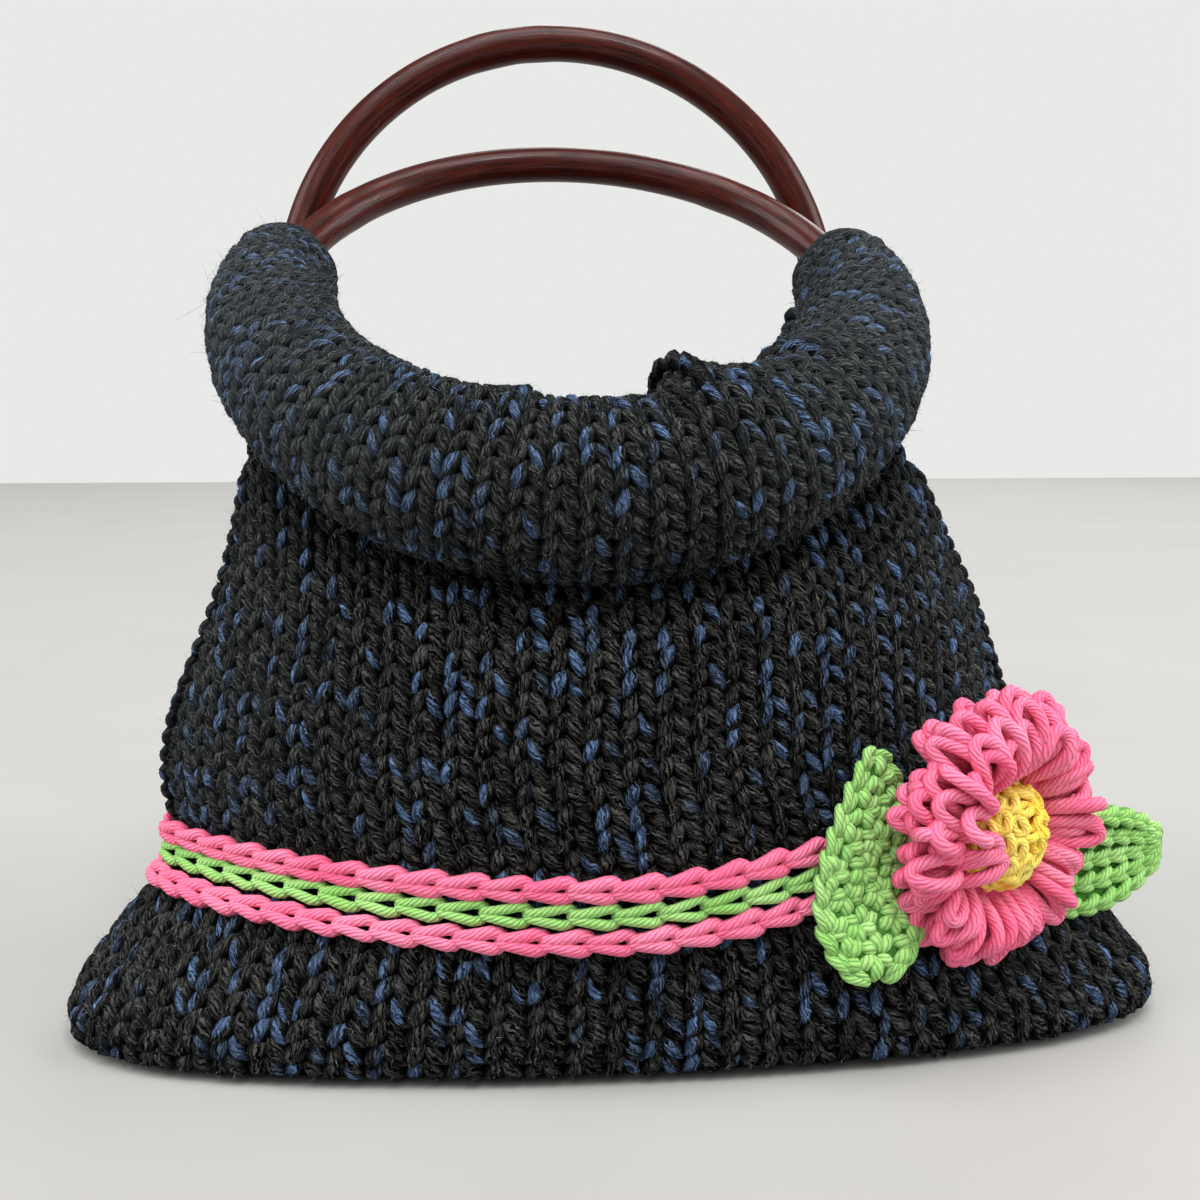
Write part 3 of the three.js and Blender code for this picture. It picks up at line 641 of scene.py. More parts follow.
# the fabric behind the stitches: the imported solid, its skin drawn in under the yarn
def liningPiece(name, node, drawIn, material, clearOf=None):
    bpy.ops.object.select_all(action="DESELECT")
    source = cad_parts[node]
    piece = bpy.data.objects.new(name, source.data.copy())
    bpy.context.scene.collection.objects.link(piece)
    bpy.context.view_layer.objects.active = piece
    piece.select_set(True)
    bpy.ops.object.mode_set(mode="EDIT")
    bpy.ops.mesh.select_all(action="SELECT")
    bpy.ops.mesh.remove_doubles(threshold=0.00002)
    if clearOf is not None:
        bpy.ops.mesh.select_all(action="DESELECT")
        bpy.ops.object.mode_set(mode="OBJECT")
        for vertex in piece.data.vertices:
            vertex.select = clearOf(np.array(vertex.co) / mm - bagShift)
        bpy.ops.object.mode_set(mode="EDIT")
    bpy.ops.transform.shrink_fatten(value=-drawIn * mm)
    bpy.ops.object.mode_set(mode="OBJECT")
    piece.data.materials.clear()
    piece.data.materials.append(material)
    bpy.ops.object.shade_smooth()
    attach(piece, "root")
    return piece


def offTheCane(place):
    rotate, at = ringMatrix(place)

    def test(point):
        local = (point - at) @ rotate
        offRing = math.hypot(local[0], local[1]) - ring["radius"]
        return math.hypot(offRing, local[2]) > ring["cane"] + lining["clear"]
    return test


lining = {"drawIn": 2.1, "clear": 1.5}
pouchLining = liningPiece("pouchLining", "bag_body", lining["drawIn"], knitBacking)
skin = np.empty(len(pouchLining.data.vertices) * 3, dtype=np.float32)
pouchLining.data.vertices.foreach_get("co", skin)
skin = skin.reshape(-1, 3).astype(float) / mm - bagShift
for panel, chosen in (("front", skin[:, 1] < 0), ("back", skin[:, 1] > 0)):
    skin[chosen] = drawnUnder(panel, skin[chosen])
pouchLining.data.vertices.foreach_set("co", ((skin + bagShift) * mm).astype(np.float32).ravel())
pouchLining.data.update()
for side in ("front", "back"):
    liningPiece("casingCore" + side.capitalize(), casings[side]["node"], lining["drawIn"], knitBacking,
                offTheCane(casings[side]))
print("linings made")


# cane rings: round cane bent to a ring, a little thicker at its knots
caneLook = {  # knots: degrees to the left of the top, half length in degrees
    "along": 220, "around": 28, "swell": 0.08,
    "knots": {"front": [(-38, 4), (52, 4)], "back": [(4, 3), (15, 4)]},
}
caneWood = caneMaterial("stainedCane", stainedCane, 2 * math.pi * ring["radius"], ring["cane"])
for side in ("front", "back"):
    place = casings[side]
    bpy.ops.object.select_all(action="DESELECT")
    bpy.ops.mesh.primitive_torus_add(
        major_radius=ring["radius"] * mm, minor_radius=ring["cane"] * mm,
        major_segments=caneLook["along"], minor_segments=caneLook["around"], generate_uvs=True)
    cane = bpy.context.object
    cane.name = "caneRing" + side.capitalize()
    cane.data.name = cane.name
    cane.data.uv_layers[0].name = "caneWay"
    for bearing, reach in caneLook["knots"][side]:
        for part in (1.0, 0.5):
            bpy.ops.object.mode_set(mode="EDIT")
            bpy.ops.mesh.select_all(action="DESELECT")
            bpy.ops.object.mode_set(mode="OBJECT")
            for vertex in cane.data.vertices:
                off = math.degrees(math.atan2(vertex.co.y, vertex.co.x)) - bearing
                vertex.select = abs(off) < part * reach
            bpy.ops.object.mode_set(mode="EDIT")
            bpy.ops.transform.shrink_fatten(value=caneLook["swell"] * mm)
            bpy.ops.object.mode_set(mode="OBJECT")
    spin = Matrix.Rotation(math.pi / 2, 4, "Z")  # the joint of the cane lies inside the casing
    lean = Matrix.Rotation(math.pi / 2 - math.radians(place["lean"]), 4, "X")
    middle = [ring["x"] + bagShift[0], place["y"] + bagShift[1], place["z"]]
    move = Matrix.Translation([v * mm for v in middle])
    cane.data.transform(move @ lean @ spin)
    bpy.ops.object.shade_smooth()
    cane.data.materials.append(caneWood)
    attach(cane, "root")
    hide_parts("handle_ring_" + side)
print("cane rings made")


# ends of the casings: the bound-off edge is two turns of yarn drawn round the cane, at a swing and a radius
casingEdge = {
    "front": [(105.2, 12.2), (105.8, 8.6)], "back": [(87.2, 9.6), (87.8, 7.4)],
    "points": 30, "sway": 0.5, "yarn": 1.9, "sides": 7,
}
for side in ("front", "back"):
    place = casings[side]
    rotate, at = ringMatrix(place)
    paths, outs = [], []
    for end in (-1, 1):
        for swing, radius in casingEdge[side]:
            angle = math.radians(end * swing)
            away = np.array([math.sin(angle), -math.cos(angle), 0.0])
            onward = np.array([math.cos(angle), math.sin(angle), 0.0]) * end
            turn = np.linspace(0, 2 * np.pi, casingEdge["points"], endpoint=False)
            spoke = np.outer(np.cos(turn), away) + np.outer(np.sin(turn), [0.0, 0.0, 1.0])
            sway = casingEdge["sway"] * np.sin(5 * turn + swing)[:, None] * onward
            paths.append((away * ring["radius"] + spoke * radius + sway) @ rotate.T + at)
            outs.append((spoke + 0.8 * onward) @ rotate.T)
    paths, outs = np.array(paths), np.array(outs)
    # the bound-off edges carry the painted light veil of the casings' ends
    size = np.full(paths.shape[:2], casingEdge["yarn"])
    layStrands("casingEdge" + side.capitalize(), paths, outs, size, size, casingEdge["sides"], charcoalYarn,
               np.full_like(size, rubbedAndLit["end"]), closed=True)
print("casing edges bound off")


# the wrong side of the fabric, inside the pouch: rows of purl bumps
purl = {
    "points": 4, "sides": 5, "inset": 6.0, "half": 0.46, "thick": 1.55, "columns": 20, "rows": (1, 29),
    "from": 0.4, "edge": 0.45, "underRim": 2.0, "hidden": 2.0, "above": 9.0, "sag": 0.3, "flat": 1.2,
}
paths, outs, wides = [], [], []
t = np.linspace(-1, 1, purl["points"])
for panel in ("front", "back"):
    across, up = np.arange(-purl["columns"], purl["columns"] + 1), np.arange(*purl["rows"])
    columns, rows = np.meshgrid(across, up, indexing="ij")
    columns, rows = columns.ravel().astype(float), rows.ravel() + purl["from"]
    columns = columns + 0.5 * (np.arange(len(columns)) % 2)
    point, around, share = wallPoint(panel, columns, rows, shrink=purl["inset"], edges=True)
    covered = np.maximum(rollDepth(casings["front"], point), rollDepth(casings["back"], point))
    below = rows * pouch["row"] < rimAt(around) - purl["underRim"]
    seenThere = (covered <= purl["hidden"]) & (point[:, 2] > purl["above"])
    keep = (np.abs(share) < purl["edge"]) & below & seenThere
    a = columns[keep][:, None] + purl["half"] * t[None]
    b = rows[keep][:, None] + purl["sag"] * (1 - t * t)[None]
    along, up = fabricWays(lambda a, b, p=panel: wallPoint(p, a, b, shrink=purl["inset"]), a, b)
    paths.append(wallPoint(panel, a, b, shrink=purl["inset"]))
    outs.append(unit(np.cross(up, along)))
    wides.append(np.full(a.shape, purl["thick"]) * (0.7 + 0.3 * (1 - t * t))[None])
paths, outs, wides = map(np.concatenate, (paths, outs, wides))
layStrands("purlInside", paths, outs, wides * purl["flat"], wides, purl["sides"], charcoalYarn)
print("inside purled:", len(paths), "bumps")


# the base: the same fabric lying flat
base = {
    "wale": 9.4, "row": 5.6, "inset": 9.0, "x": 5.0, "z": 0.2, "halfWide": 141.0, "halfDeep": 57.0,
    "square": 4.2, "columns": 15, "rows": 11, "from": 0.3, "sunk": 2.2, "points": 4, "sides": 5,
    "jitter": 0.5,
}


def basePoint(column, row):
    return np.stack([base["x"] - column * base["wale"], row * base["row"], base["z"] + 0 * column], -1)


across, up = np.arange(-base["columns"], base["columns"] + 1), np.arange(-base["rows"], base["rows"])
columns, rows = np.meshgrid(across, up, indexing="ij")
columns, rows = columns.ravel().astype(float), rows.ravel().astype(float)
spot = basePoint(columns, rows + base["from"])
offX = np.abs((spot[:, 0] - base["x"]) / (base["halfWide"] - base["inset"]))
offY = np.abs(spot[:, 1] / (base["halfDeep"] - base["inset"]))
inBase = offX ** base["square"] + offY ** base["square"] < 1
legs = stitchLegs(basePoint, columns[inBase], rows[inBase], base["sunk"], base["points"], base["jitter"])
knitPiece("knitBase", legs, base["sides"])
print("base knitted:", int(inBase.sum()), "stitches")


# side seams: the two panels are laced together by a line of short stitches
seam = {
    "rows": (0.6, 28.0, 0.92), "top": 146.0, "half": 0.34, "sway": 2.6, "bow": 1.2, "sunk": 2.2,
    "yarn": 1.0, "swell": 0.55, "points": 6, "sides": 6, "past": 60.0,
}
paths, outs = [], []
t = np.linspace(0, 1, seam["points"])
rows = np.arange(*seam["rows"])
rows = rows[rows * pouch["row"] < seam["top"]]
for column in (-seam["past"], seam["past"]):  # past the last column, so on the edge of the panel
    for hand in (-1, 1):
        b = rows[:, None] + (hand * seam["half"] * (t - 0.5) * 2)[None]
        line = wallPoint("front", np.full_like(b, column), b)
        outward = np.zeros_like(line)
        outward[..., 0] = np.sign(column)
        sway = np.zeros_like(line)
        sway[..., 1] = seam["sway"] * np.cos(np.pi * t)[None]
        bow = np.sin(np.pi * t)[None, :, None]
        paths.append(line + sway + outward * (seam["bow"] * bow - seam["sunk"]))
        outs.append(outward)
paths, outs = map(np.concatenate, (paths, outs))
size = np.full(paths.shape[:2], seam["yarn"]) * (1.0 + seam["swell"] * np.sin(np.pi * t))[None]
# the seams carry the painted light veil of the pouch's sides
layStrands("sideSeams", paths, outs, size, size, seam["sides"], charcoalYarn,
           np.full_like(size, rubbedAndLit["side"]))
print("side seams laced")


# fuzz: loose hairs of the wool stand off the stitches, longer ones at the left end of the front casing
fuzz = {
    "shade": ("#2c2e33", "#8b9099"), "thick": 0.05, "shortThick": 0.075, "rough": 0.8, "specular": 0.1,
    "rise": (0.15, 0.75), "strayFrom": (-88.0, 178.0), "inTheYarn": 0.8,
    "heights": [130, 140, 165, 185], "share": [1.5, 2.2, 5.0, 9.0],  # the casings are rubbed most
    "ends": (2.0, 110.0, 4), "sides": (14.0, 112.0, 8),  # more towards the sides: gain, reach and power
    "kinds": [
        {"name": "woolFuzz", "count": 29000, "length": (0.9, 3.0), "points": 2, "curl": 0.0},
        {"name": "woolFuzzLong", "count": 1400, "length": (2.2, 4.6), "points": 3, "curl": 0.4},
        {"name": "woolFuzzStray", "count": 70, "length": (5.0, 9.0), "points": 6, "curl": 0.9},
    ],
}


# short hairs: many three-sided spikes in one mesh
def layHairs(name, root, tip, thick, material):
    aim = tip - root
    side = np.cross(aim, rng.normal(0, 1, aim.shape))
    side, other = unit(side), unit(np.cross(aim, side))
    turn = 2 * np.pi * np.arange(3)[None, :, None] / 3
    foot = root[:, None] + thick * (np.cos(turn) * side[:, None] + np.sin(turn) * other[:, None])
    spots = np.concatenate([foot, tip[:, None]], axis=1).reshape(-1, 3)
    spots[:, 2] = np.maximum(spots[:, 2], 0.2)
    spike = np.array([[0, 1, 3], [1, 2, 3], [2, 0, 3], [0, 2, 1]])
    faces = (4 * np.arange(len(root))[:, None, None] + spike).reshape(-1, 3)
    mesh = bpy.data.meshes.new(name)
    mesh.from_pydata(((spots + bagShift) * mm).tolist(), [], faces.tolist())
    markPoints(mesh, "strandSeed", np.repeat(rng.random(len(root)), 4))
    placePiece(name, mesh, material)


# single wool fibres: thin and matt, each of its own grey
fuzzMaterial, fuzzTree = newMaterial("charcoalWoolHair")
hairSeed = addNode(fuzzTree, "Attribute", attribute_name="strandSeed").outputs["Fac"]
darkHair, paleHair = map(linearColour, fuzz["shade"])
hairTone = addNode(fuzzTree, "Mix", {"Factor": hairSeed, "A": darkHair, "B": paleHair}, data_type="RGBA")
hairShader = addNode(fuzzTree, "BsdfPrincipled", {
    "Base Color": hairTone, "Roughness": fuzz["rough"], "Specular IOR Level": fuzz["specular"]})
addNode(fuzzTree, "OutputMaterial", [hairShader])
legPath = np.concatenate([legs["path"][:, 1:6].reshape(-1, 3) for legs in woolLegs])
legOut = np.concatenate([legs["out"][:, 1:6].reshape(-1, 3) for legs in woolLegs])
legDeep = np.concatenate([legs["deep"][:, 1:6].ravel() for legs in woolLegs])
weight = np.interp(legPath[:, 2], fuzz["heights"], fuzz["share"])
gain, reach, power = fuzz["ends"]
weight *= 1 + gain * np.clip(np.abs(legPath[:, 0]) / reach, 0, 1) ** power
gain, reach, power = fuzz["sides"]
weight += gain * np.clip(np.abs(legPath[:, 0]) / reach, 0, 1) ** power
stray = (legPath[:, 0] < fuzz["strayFrom"][0]) & (legPath[:, 2] > fuzz["strayFrom"][1])
for kind in fuzz["kinds"]:
    n = kind["count"]
    chance = weight * stray if kind["name"] == "woolFuzzStray" else weight
    pick = rng.choice(len(legPath), n, replace=False, p=chance / chance.sum())
    lean = rng.normal(0, 1, (n, 3))
    lean = unit(lean - legOut[pick] * (lean * legOut[pick]).sum(1, keepdims=True))
    rise = rng.uniform(*fuzz["rise"], (n, 1))
    root = legPath[pick] + legOut[pick] * (fuzz["inTheYarn"] * legDeep[pick])[:, None]
    aim = lean * (1 - rise) + legOut[pick] * rise
    curl = rng.normal(0, 1, (n, 3)) * kind["curl"]
    t = np.linspace(0, 1, kind["points"])[None, :, None]
    length = rng.uniform(*kind["length"], n)[:, None, None]
    if kind["points"] == 2:
        tip = root + length[:, 0] * aim
        layHairs(kind["name"], root, tip, fuzz["shortThick"], fuzzMaterial)
        continue
    paths = root[:, None] + length * (aim[:, None] * t + curl[:, None] * t * t * (1 - 0.6 * t))
    outs = np.broadcast_to(np.cross(aim, lean + [0.3, 0.1, 0.2])[:, None], paths.shape)
    size = np.broadcast_to(fuzz["thick"] * (1 - 0.5 * t[..., 0]), paths.shape[:2])
    layStrands(kind["name"], paths, outs, size, size, 3, fuzzMaterial)
print("fuzz raised")


# chain lines: loops drawn through one another, the start of each comes up over the wide end of the one before
chainLines = {
    "stripe_pink_upper": {"height": 51.0, "yarn": 1.72, "half": 1.95, "slot": "pink_yarn"},
    "stripe_green": {"height": 44.6, "yarn": 1.4, "half": 2.1, "slot": "green_yarn"},
    "stripe_pink_lower": {"height": 38.2, "yarn": 1.72, "half": 1.95, "slot": "pink_yarn"},
}
chain = {  # link: along, half width and lift of one arm from the narrow start to the round end
    "pitch": 10.6, "sides": 6, "off": 2.0, "reach": 0.62, "uneven": 0.04, "flat": 0.95, "points": 1601,
    "link": np.array([[-1.0, 0.1, -0.8], [-0.86, 0.28, 0.6], [-0.48, 0.44, 1.05], [0.0, 0.74, 0.85],
                      [0.34, 1.0, 0.4], [0.58, 0.92, -0.25], [0.74, 0.55, -0.9], [0.78, 0.0, -1.1]]),
}


# a dense line: its points, the way out at each, and the length run to it
def lineFrame(points, out):
    step = np.linalg.norm(np.diff(points, axis=0), axis=1)
    run = np.concatenate([[0], np.cumsum(step)])
    return {"run": run, "points": points, "out": out}


def alongLine(line, s):
    return np.stack([np.interp(s, line["run"], line["points"][:, i]) for i in range(3)], -1)


def outOfLine(line, s):
    return unit(np.stack([np.interp(s, line["run"], line["out"][:, i]) for i in range(3)], -1))


def chainLoops(line, starts, pitch, half, yarn, dip=1.0):
    arm = chain["link"]
    loop = np.concatenate([arm, arm[-2::-1] * [1, -1, 1]])
    span = line["run"][-1]
    s = np.clip(starts[:, None] + pitch * chain["reach"] * loop[None, :, 0], 0, span)
    out = outOfLine(line, s)
    ahead, behind = alongLine(line, np.clip(s + 0.5, 0, span)), alongLine(line, np.clip(s - 0.5, 0, span))
    up = unit(np.cross(out, ahead - behind))
    path = alongLine(line, s) + up * (half * loop[:, 1])[None, :, None]
    path = path + out * (dip * loop[:, 2])[None, :, None]
    size = np.full(path.shape[:2], yarn) * (0.86 + 0.14 * np.clip(loop[:, 0] + 1, 0, 1))[None]
    return path, out, size


# links of about one pitch, spaced evenly over the whole of a line
def evenChain(line, pitch, half, yarn, dip=1.0):
    count = round(line["run"][-1] / pitch)
    pitch = line["run"][-1] / count
    return chainLoops(line, (np.arange(count) + 0.5) * pitch, pitch, half, yarn, dip)


def bodyOut(around, height):
    d = 0.004
    along = pouchPoint((around + d) % 1, height) - pouchPoint((around - d) % 1, height)
    up = pouchPoint(around, height + 1) - pouchPoint(around, np.maximum(height - 1, 0))
    return unit(np.cross(along, up))


# the mouth is bound off with a chain where no casing covers it
rim = {"pitch": 7.2, "half": 2.3, "yarn": 1.75, "inset": 3.2, "reach": 0.11, "points": 240}
paths, outs, sizes = [], [], []
for middle in (0.0, 0.5):
    around = (middle + np.linspace(-rim["reach"], rim["reach"], rim["points"])) % 1
    points = pouchPoint(around, rimAt(around), rim["inset"])
    line = lineFrame(points, np.tile([0.0, 0.0, 1.0], (len(points), 1)))
    starts = np.arange(rim["pitch"], line["run"][-1] - rim["pitch"], rim["pitch"])
    path, out, size = chainLoops(line, starts, rim["pitch"], rim["half"], rim["yarn"])
    paths.append(path)
    outs.append(out)
    sizes.append(size)
paths, outs, sizes = map(np.concatenate, (paths, outs, sizes))
layStrands("mouthEdge", paths, outs, sizes, sizes, chain["sides"], charcoalYarn)
for node, look in chainLines.items():
    around = np.linspace(0, 1, chain["points"]) % 1
    height = look["height"] + climbAt(pouchPoint(around, np.full_like(around, look["height"]))[:, 0])
    out = bodyOut(around, height)
    line = lineFrame(pouchPoint(around, height) + out * chain["off"], out)
    path, out, size = evenChain(line, chain["pitch"], look["half"], look["yarn"])
    size *= 1 + rng.normal(0, chain["uneven"], (len(path), 1))
    yarn = greenYarn if "green" in node else pinkYarn
    name = "chain" + "".join(word.capitalize() for word in node.split("_")[1:])
    piece = layStrands(name, path, out, size, size * chain["flat"], chain["sides"], yarn)
    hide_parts(node)
print("chain lines worked")


# flower: loops of thick yarn on a padded backing
# bearing: degrees from the right over the top, tight and open: half gap at foot and tip
flower = {
    "x": 88.0, "z": 58.0, "turn": 31.0, "standOff": 9.5, "yarn": 1.8, "points": 22, "sides": 8,
    "pad": {"radius": 25.0, "flat": 0.24, "lift": 3.5},
    "uneven": {"bearing": 0.04, "inner": 0.5, "outer": 0.7, "low": 0.5, "tip": 1.6, "arch": 1.2,
               "roll": 0.1, "yarn": 0.03},
    "rounds": [  # count, first and last bearing, inner, outer, low, tip, arch, tight, open, roll
        (31, 0, 360, 16.0, 34.0, 2.4, 3.6, 3.5, 1.8, 3.4, 0.25),
        (28, 6, 366, 16.5, 32.5, 4.0, 7.5, 4.0, 1.9, 3.6, 0.5),
        (12, 58, 186, 17.0, 35.0, 5.0, 10.0, 5.0, 2.0, 4.8, 0.6),
        (8, 56, 176, 16.0, 32.5, 7.0, 14.0, 6.0, 2.0, 5.4, 0.6),
        (6, 66, 168, 14.5, 27.5, 9.0, 17.0, 6.0, 2.0, 5.4, 0.5),
        (7, -16, 52, 17.0, 30.5, 5.0, 13.0, 3.0, 2.0, 4.0, 0.7),
        (8, 165, 232, 18.0, 29.5, 5.0, 10.0, 4.0, 2.0, 4.0, 0.7),
        (11, 226, 342, 16.5, 29.0, 5.0, 10.0, 4.0, 2.0, 3.9, 0.6),
    ],
    "fallen": [(174, 27.0, 12.5, 17.0), (193, 26.5, 11.0, 17.0)],  # bearing, inner, outer, tip
    "fallenLow": 7.0, "fallenArch": 4.0, "fallenOpen": (2.0, 3.4),
}


def aroundAt(x, height):
    left, right = readTable(pouch["sections"], 1, height), readTable(pouch["sections"], 2, height)
    side = np.clip((2 * x - left - right) / (right - left), -1, 1)
    return (np.arcsin(side) / (np.pi / 2) + 1) / 4


def sprayFrame(turn, x, z, off, atHeight=None):
    angle = math.radians(turn)
    cos, sin = math.cos(angle), math.sin(angle)
    axes = np.array([[cos, 0, sin], [sin, 0, -cos], [0, 1, 0]])
    facing = math.radians(flower["turn"])
    out = np.array([math.sin(facing), -math.cos(facing), 0])
    at = pouchPoint(aroundAt(np.array(x), np.array(z)), np.array(z)) + out * off
    if atHeight is not None:
        at[2] = atHeight
    return axes, at


flowerAxes, flowerAt = sprayFrame(flower["turn"], flower["x"], flower["z"], flower["standOff"])


def yarnLoops(bearing, inner, outer, low, tip, arch, tight, opened, roll):
    t = np.linspace(0, 1, flower["points"])[None]
    reach = np.sin(np.pi * t) ** 0.75
    radius = inner[:, None] + (outer - inner)[:, None] * reach
    aside = -np.cos(np.pi * t) * (tight + (opened - tight) * reach)
    rise = low[:, None] + (tip - low)[:, None] * reach ** 1.4 + arch[:, None] * np.sin(np.pi * reach)
    rise = rise + aside * np.sin(roll)[:, None]
    aside = aside * np.cos(roll)[:, None]
    cosB, sinB = np.cos(bearing)[:, None], np.sin(bearing)[:, None]
    local = np.stack([radius * cosB - aside * sinB, radius * sinB + aside * cosB, rise], -1)
    out = np.stack([0.25 * cosB + 0 * t, 0.25 * sinB + 0 * t, 1 + 0 * t + 0 * cosB], -1)
    return local, out


paths, outs = [], []
uneven = flower["uneven"]
for n, first, last, inner, outer, low, tip, arch, tight, opened, roll in flower["rounds"]:
    bearing = np.radians(first + (last - first) * (np.arange(n) + 0.5) / n)
    bearing = bearing + rng.normal(0, uneven["bearing"], n)
    leafSide = 0.1 * np.clip(-np.cos(bearing + 0.35), 0, 1) ** 3  # the loops stop at the left leaf
    corner = 0.16 * np.clip(np.cos(bearing - 2.5), 0, 1) ** 4  # and reach further at the upper left
    outer = outer * (1 - leafSide + corner)
    local, out = yarnLoops(
        bearing, inner + rng.normal(0, uneven["inner"], n), outer + rng.normal(0, uneven["outer"], n),
        low + rng.normal(0, uneven["low"], n), tip + rng.normal(0, uneven["tip"], n),
        arch + rng.normal(0, uneven["arch"], n), tight, opened, rng.normal(0, roll, n))
    paths.append(local)
    outs.append(out)
fallen = np.array(flower["fallen"], dtype=float)
n = len(fallen)
local, out = yarnLoops(
    np.radians(fallen[:, 0]), fallen[:, 1], fallen[:, 2], np.full(n, flower["fallenLow"]), fallen[:, 3],
    np.full(n, flower["fallenArch"]), *flower["fallenOpen"], rng.normal(0, uneven["roll"], n))
paths.append(local)
outs.append(out)
paths, outs = map(np.concatenate, (paths, outs))
size = np.full(paths.shape[:2], flower["yarn"]) * (1 + rng.normal(0, uneven["yarn"], (len(paths), 1)))
petals = layStrands("flowerLoops", paths @ flowerAxes.T + flowerAt, outs @ flowerAxes.T, size, size,
                    flower["sides"], pinkYarn)
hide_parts("flower_petals")
bpy.ops.object.select_all(action="DESELECT")
bpy.ops.mesh.primitive_uv_sphere_add(segments=40, ring_count=20, radius=flower["pad"]["radius"] * mm)
pad = bpy.context.object
pad.name = pad.data.name = "flowerBacking"
bpy.ops.object.mode_set(mode="EDIT")
bpy.ops.mesh.select_all(action="SELECT")
bpy.ops.transform.resize(value=(1, 1, flower["pad"]["flat"]))
bpy.ops.object.mode_set(mode="OBJECT")
padPlace = np.eye(4)
padPlace[:3, :3] = flowerAxes
padPlace[:3, 3] = (flowerAt + bagShift + flowerAxes @ np.array([0, 0, flower["pad"]["lift"]])) * mm
pad.data.transform(Matrix(padPlace.tolist()))
bpy.ops.object.shade_smooth()
pad.data.materials.append(pinkBacking)
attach(pad, "root")
print("flower looped:", len(paths), "loops")


# button: a crocheted dome of small bobbles
button = {
    "radius": 14.5, "height": 9.5, "seat": 6.5, "bobbles": 50, "ring": 1.9, "yarn": 1.25,
    "points": 11, "sides": 6, "drawIn": 0.9,
}
n = button["bobbles"]
i = np.arange(n) + 0.5
rise = 1 - i / n * 1.02
azimuth = i * math.pi * (3 - math.sqrt(5))
flat = np.sqrt(np.clip(1 - rise ** 2, 0, 1))
spotOut = np.stack([flat * np.cos(azimuth), flat * np.sin(azimuth), rise], -1)
spot = spotOut * [button["radius"] - 1.0, button["radius"] - 1.0, button["height"]] + [0, 0, button["seat"]]
first = unit(np.cross(spotOut, rng.normal(0, 1, (n, 3))))
second = np.cross(spotOut, first)
turn = np.linspace(0, 2 * np.pi, button["points"], endpoint=False)[None, :, None]
wobble = button["ring"] * (1 + 0.25 * np.cos(2 * turn))
bobble = wobble * (np.cos(turn) * first[:, None] + 0.8 * np.sin(turn) * second[:, None])
paths = spot[:, None] + bobble + 0.7 * np.sin(turn) * spotOut[:, None]
outs = np.broadcast_to(spotOut[:, None], paths.shape)
size = np.full(paths.shape[:2], button["yarn"])
bobbles = layStrands("flowerButton", paths @ flowerAxes.T + flowerAt, outs @ flowerAxes.T, size, size,
                     button["sides"], yellowYarn, closed=True)
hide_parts("flower_centre")
liningPiece("buttonCore", "flower_centre", button["drawIn"], yellowBacking)
print("button crocheted")


# leaves: on the left one stitches fan out of small holes, the right one is ribs of chain, over felted cores
leaf = {
    "left": {"x": 60.0, "bottom": 26.0, "length": 53.0, "left": 14.0, "right": 13.5, "bulge": 0.36,
             "star": 8.2, "yarn": 1.75, "edge": {"pitch": 6.0, "half": 1.2, "yarn": 1.3}},
    "right": {"start": 16.0, "length": 53.0, "width": 27.0, "turn": 22.0, "z": 43.0, "cup": 3.5, "ribs": 5,
              "rib": {"pitch": 6.6, "half": 1.5, "yarn": 1.6, "dip": 1.1}},
    "off": 7.15, "points": 6, "sides": 6, "drawIn": 0.5, "edgePoints": 70, "ribPoints": 60,
}


def leftLeafWidth(share, across):
    t = np.clip(share, 0.0, 1.0) ** (math.log(0.5) / math.log(leaf["left"]["bulge"]))
    half = np.where(across < 0, leaf["left"]["left"], leaf["left"]["right"])
    return half * np.maximum(np.sin(np.pi * t), 0.1) ** 0.75


def overLeaf(x, height, lift):
    around = aroundAt(x, height)
    out = bodyOut(around, height)
    return pouchPoint(around, height) + out * lift[..., None], out


def leftLeafPoint(share, across, lift):
    height = leaf["left"]["bottom"] + leaf["left"]["length"] * np.clip(share, 0.0, 1.0)
    return overLeaf(leaf["left"]["x"] + leftLeafWidth(share, across) * across, height, lift)


star = leaf["left"]["star"]
row, place = np.meshgrid(np.arange(0, 10), np.arange(-3, 4), indexing="ij")
eyeX = ((place + 0.5 * (row % 2)) * star).ravel()
eyeZ = (5.0 + row * 0.866 * star).ravel()
eyeX, eyeZ = eyeX + rng.normal(0, 0.35, len(eyeX)), eyeZ + rng.normal(0, 0.35, len(eyeZ))
turn = np.radians(np.arange(0, 360, 60) + 30)[None] + rng.normal(0, 0.12, (len(eyeX), 6))
t = np.linspace(0, 1, leaf["points"])[None, None]
far = star * (0.06 + 0.56 * t)
x = eyeX[:, None, None] + far * np.cos(turn)[..., None]
z = eyeZ[:, None, None] + far * np.sin(turn)[..., None]
share, across = z / leaf["left"]["length"], x / leftLeafWidth(z / leaf["left"]["length"], x)
inside = ((np.abs(across) < 1.02) & (share > -0.03) & (share < 1.0)).all(2)
x, z, bow = x[inside], z[inside], np.sin(np.pi * t[0] ** 0.8)
lift = leaf["off"] - 0.3 + 1.7 * bow + rng.normal(0, 0.2, (len(x), 1))
path, out = overLeaf(leaf["left"]["x"] + x, leaf["left"]["bottom"] + z, lift)
size = leaf["left"]["yarn"] * (0.5 + 0.5 * bow) * (1 + rng.normal(0, 0.06, (len(x), 1)))
piece = layStrands("leafLeftCrochet", path, out, size * 1.1, size, leaf["sides"], greenYarn)
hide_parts("leaf_left")
rise = np.linspace(0.0, 1.0, leaf["edgePoints"])
share = np.concatenate([rise, rise[-2::-1]])  # up the left edge and down the right one
across = np.where(np.arange(len(share)) < len(rise), -1.0, 1.0)
line = lineFrame(*leftLeafPoint(share, across, np.full(len(share), leaf["off"])))
path, out, size = evenChain(line, **leaf["left"]["edge"])
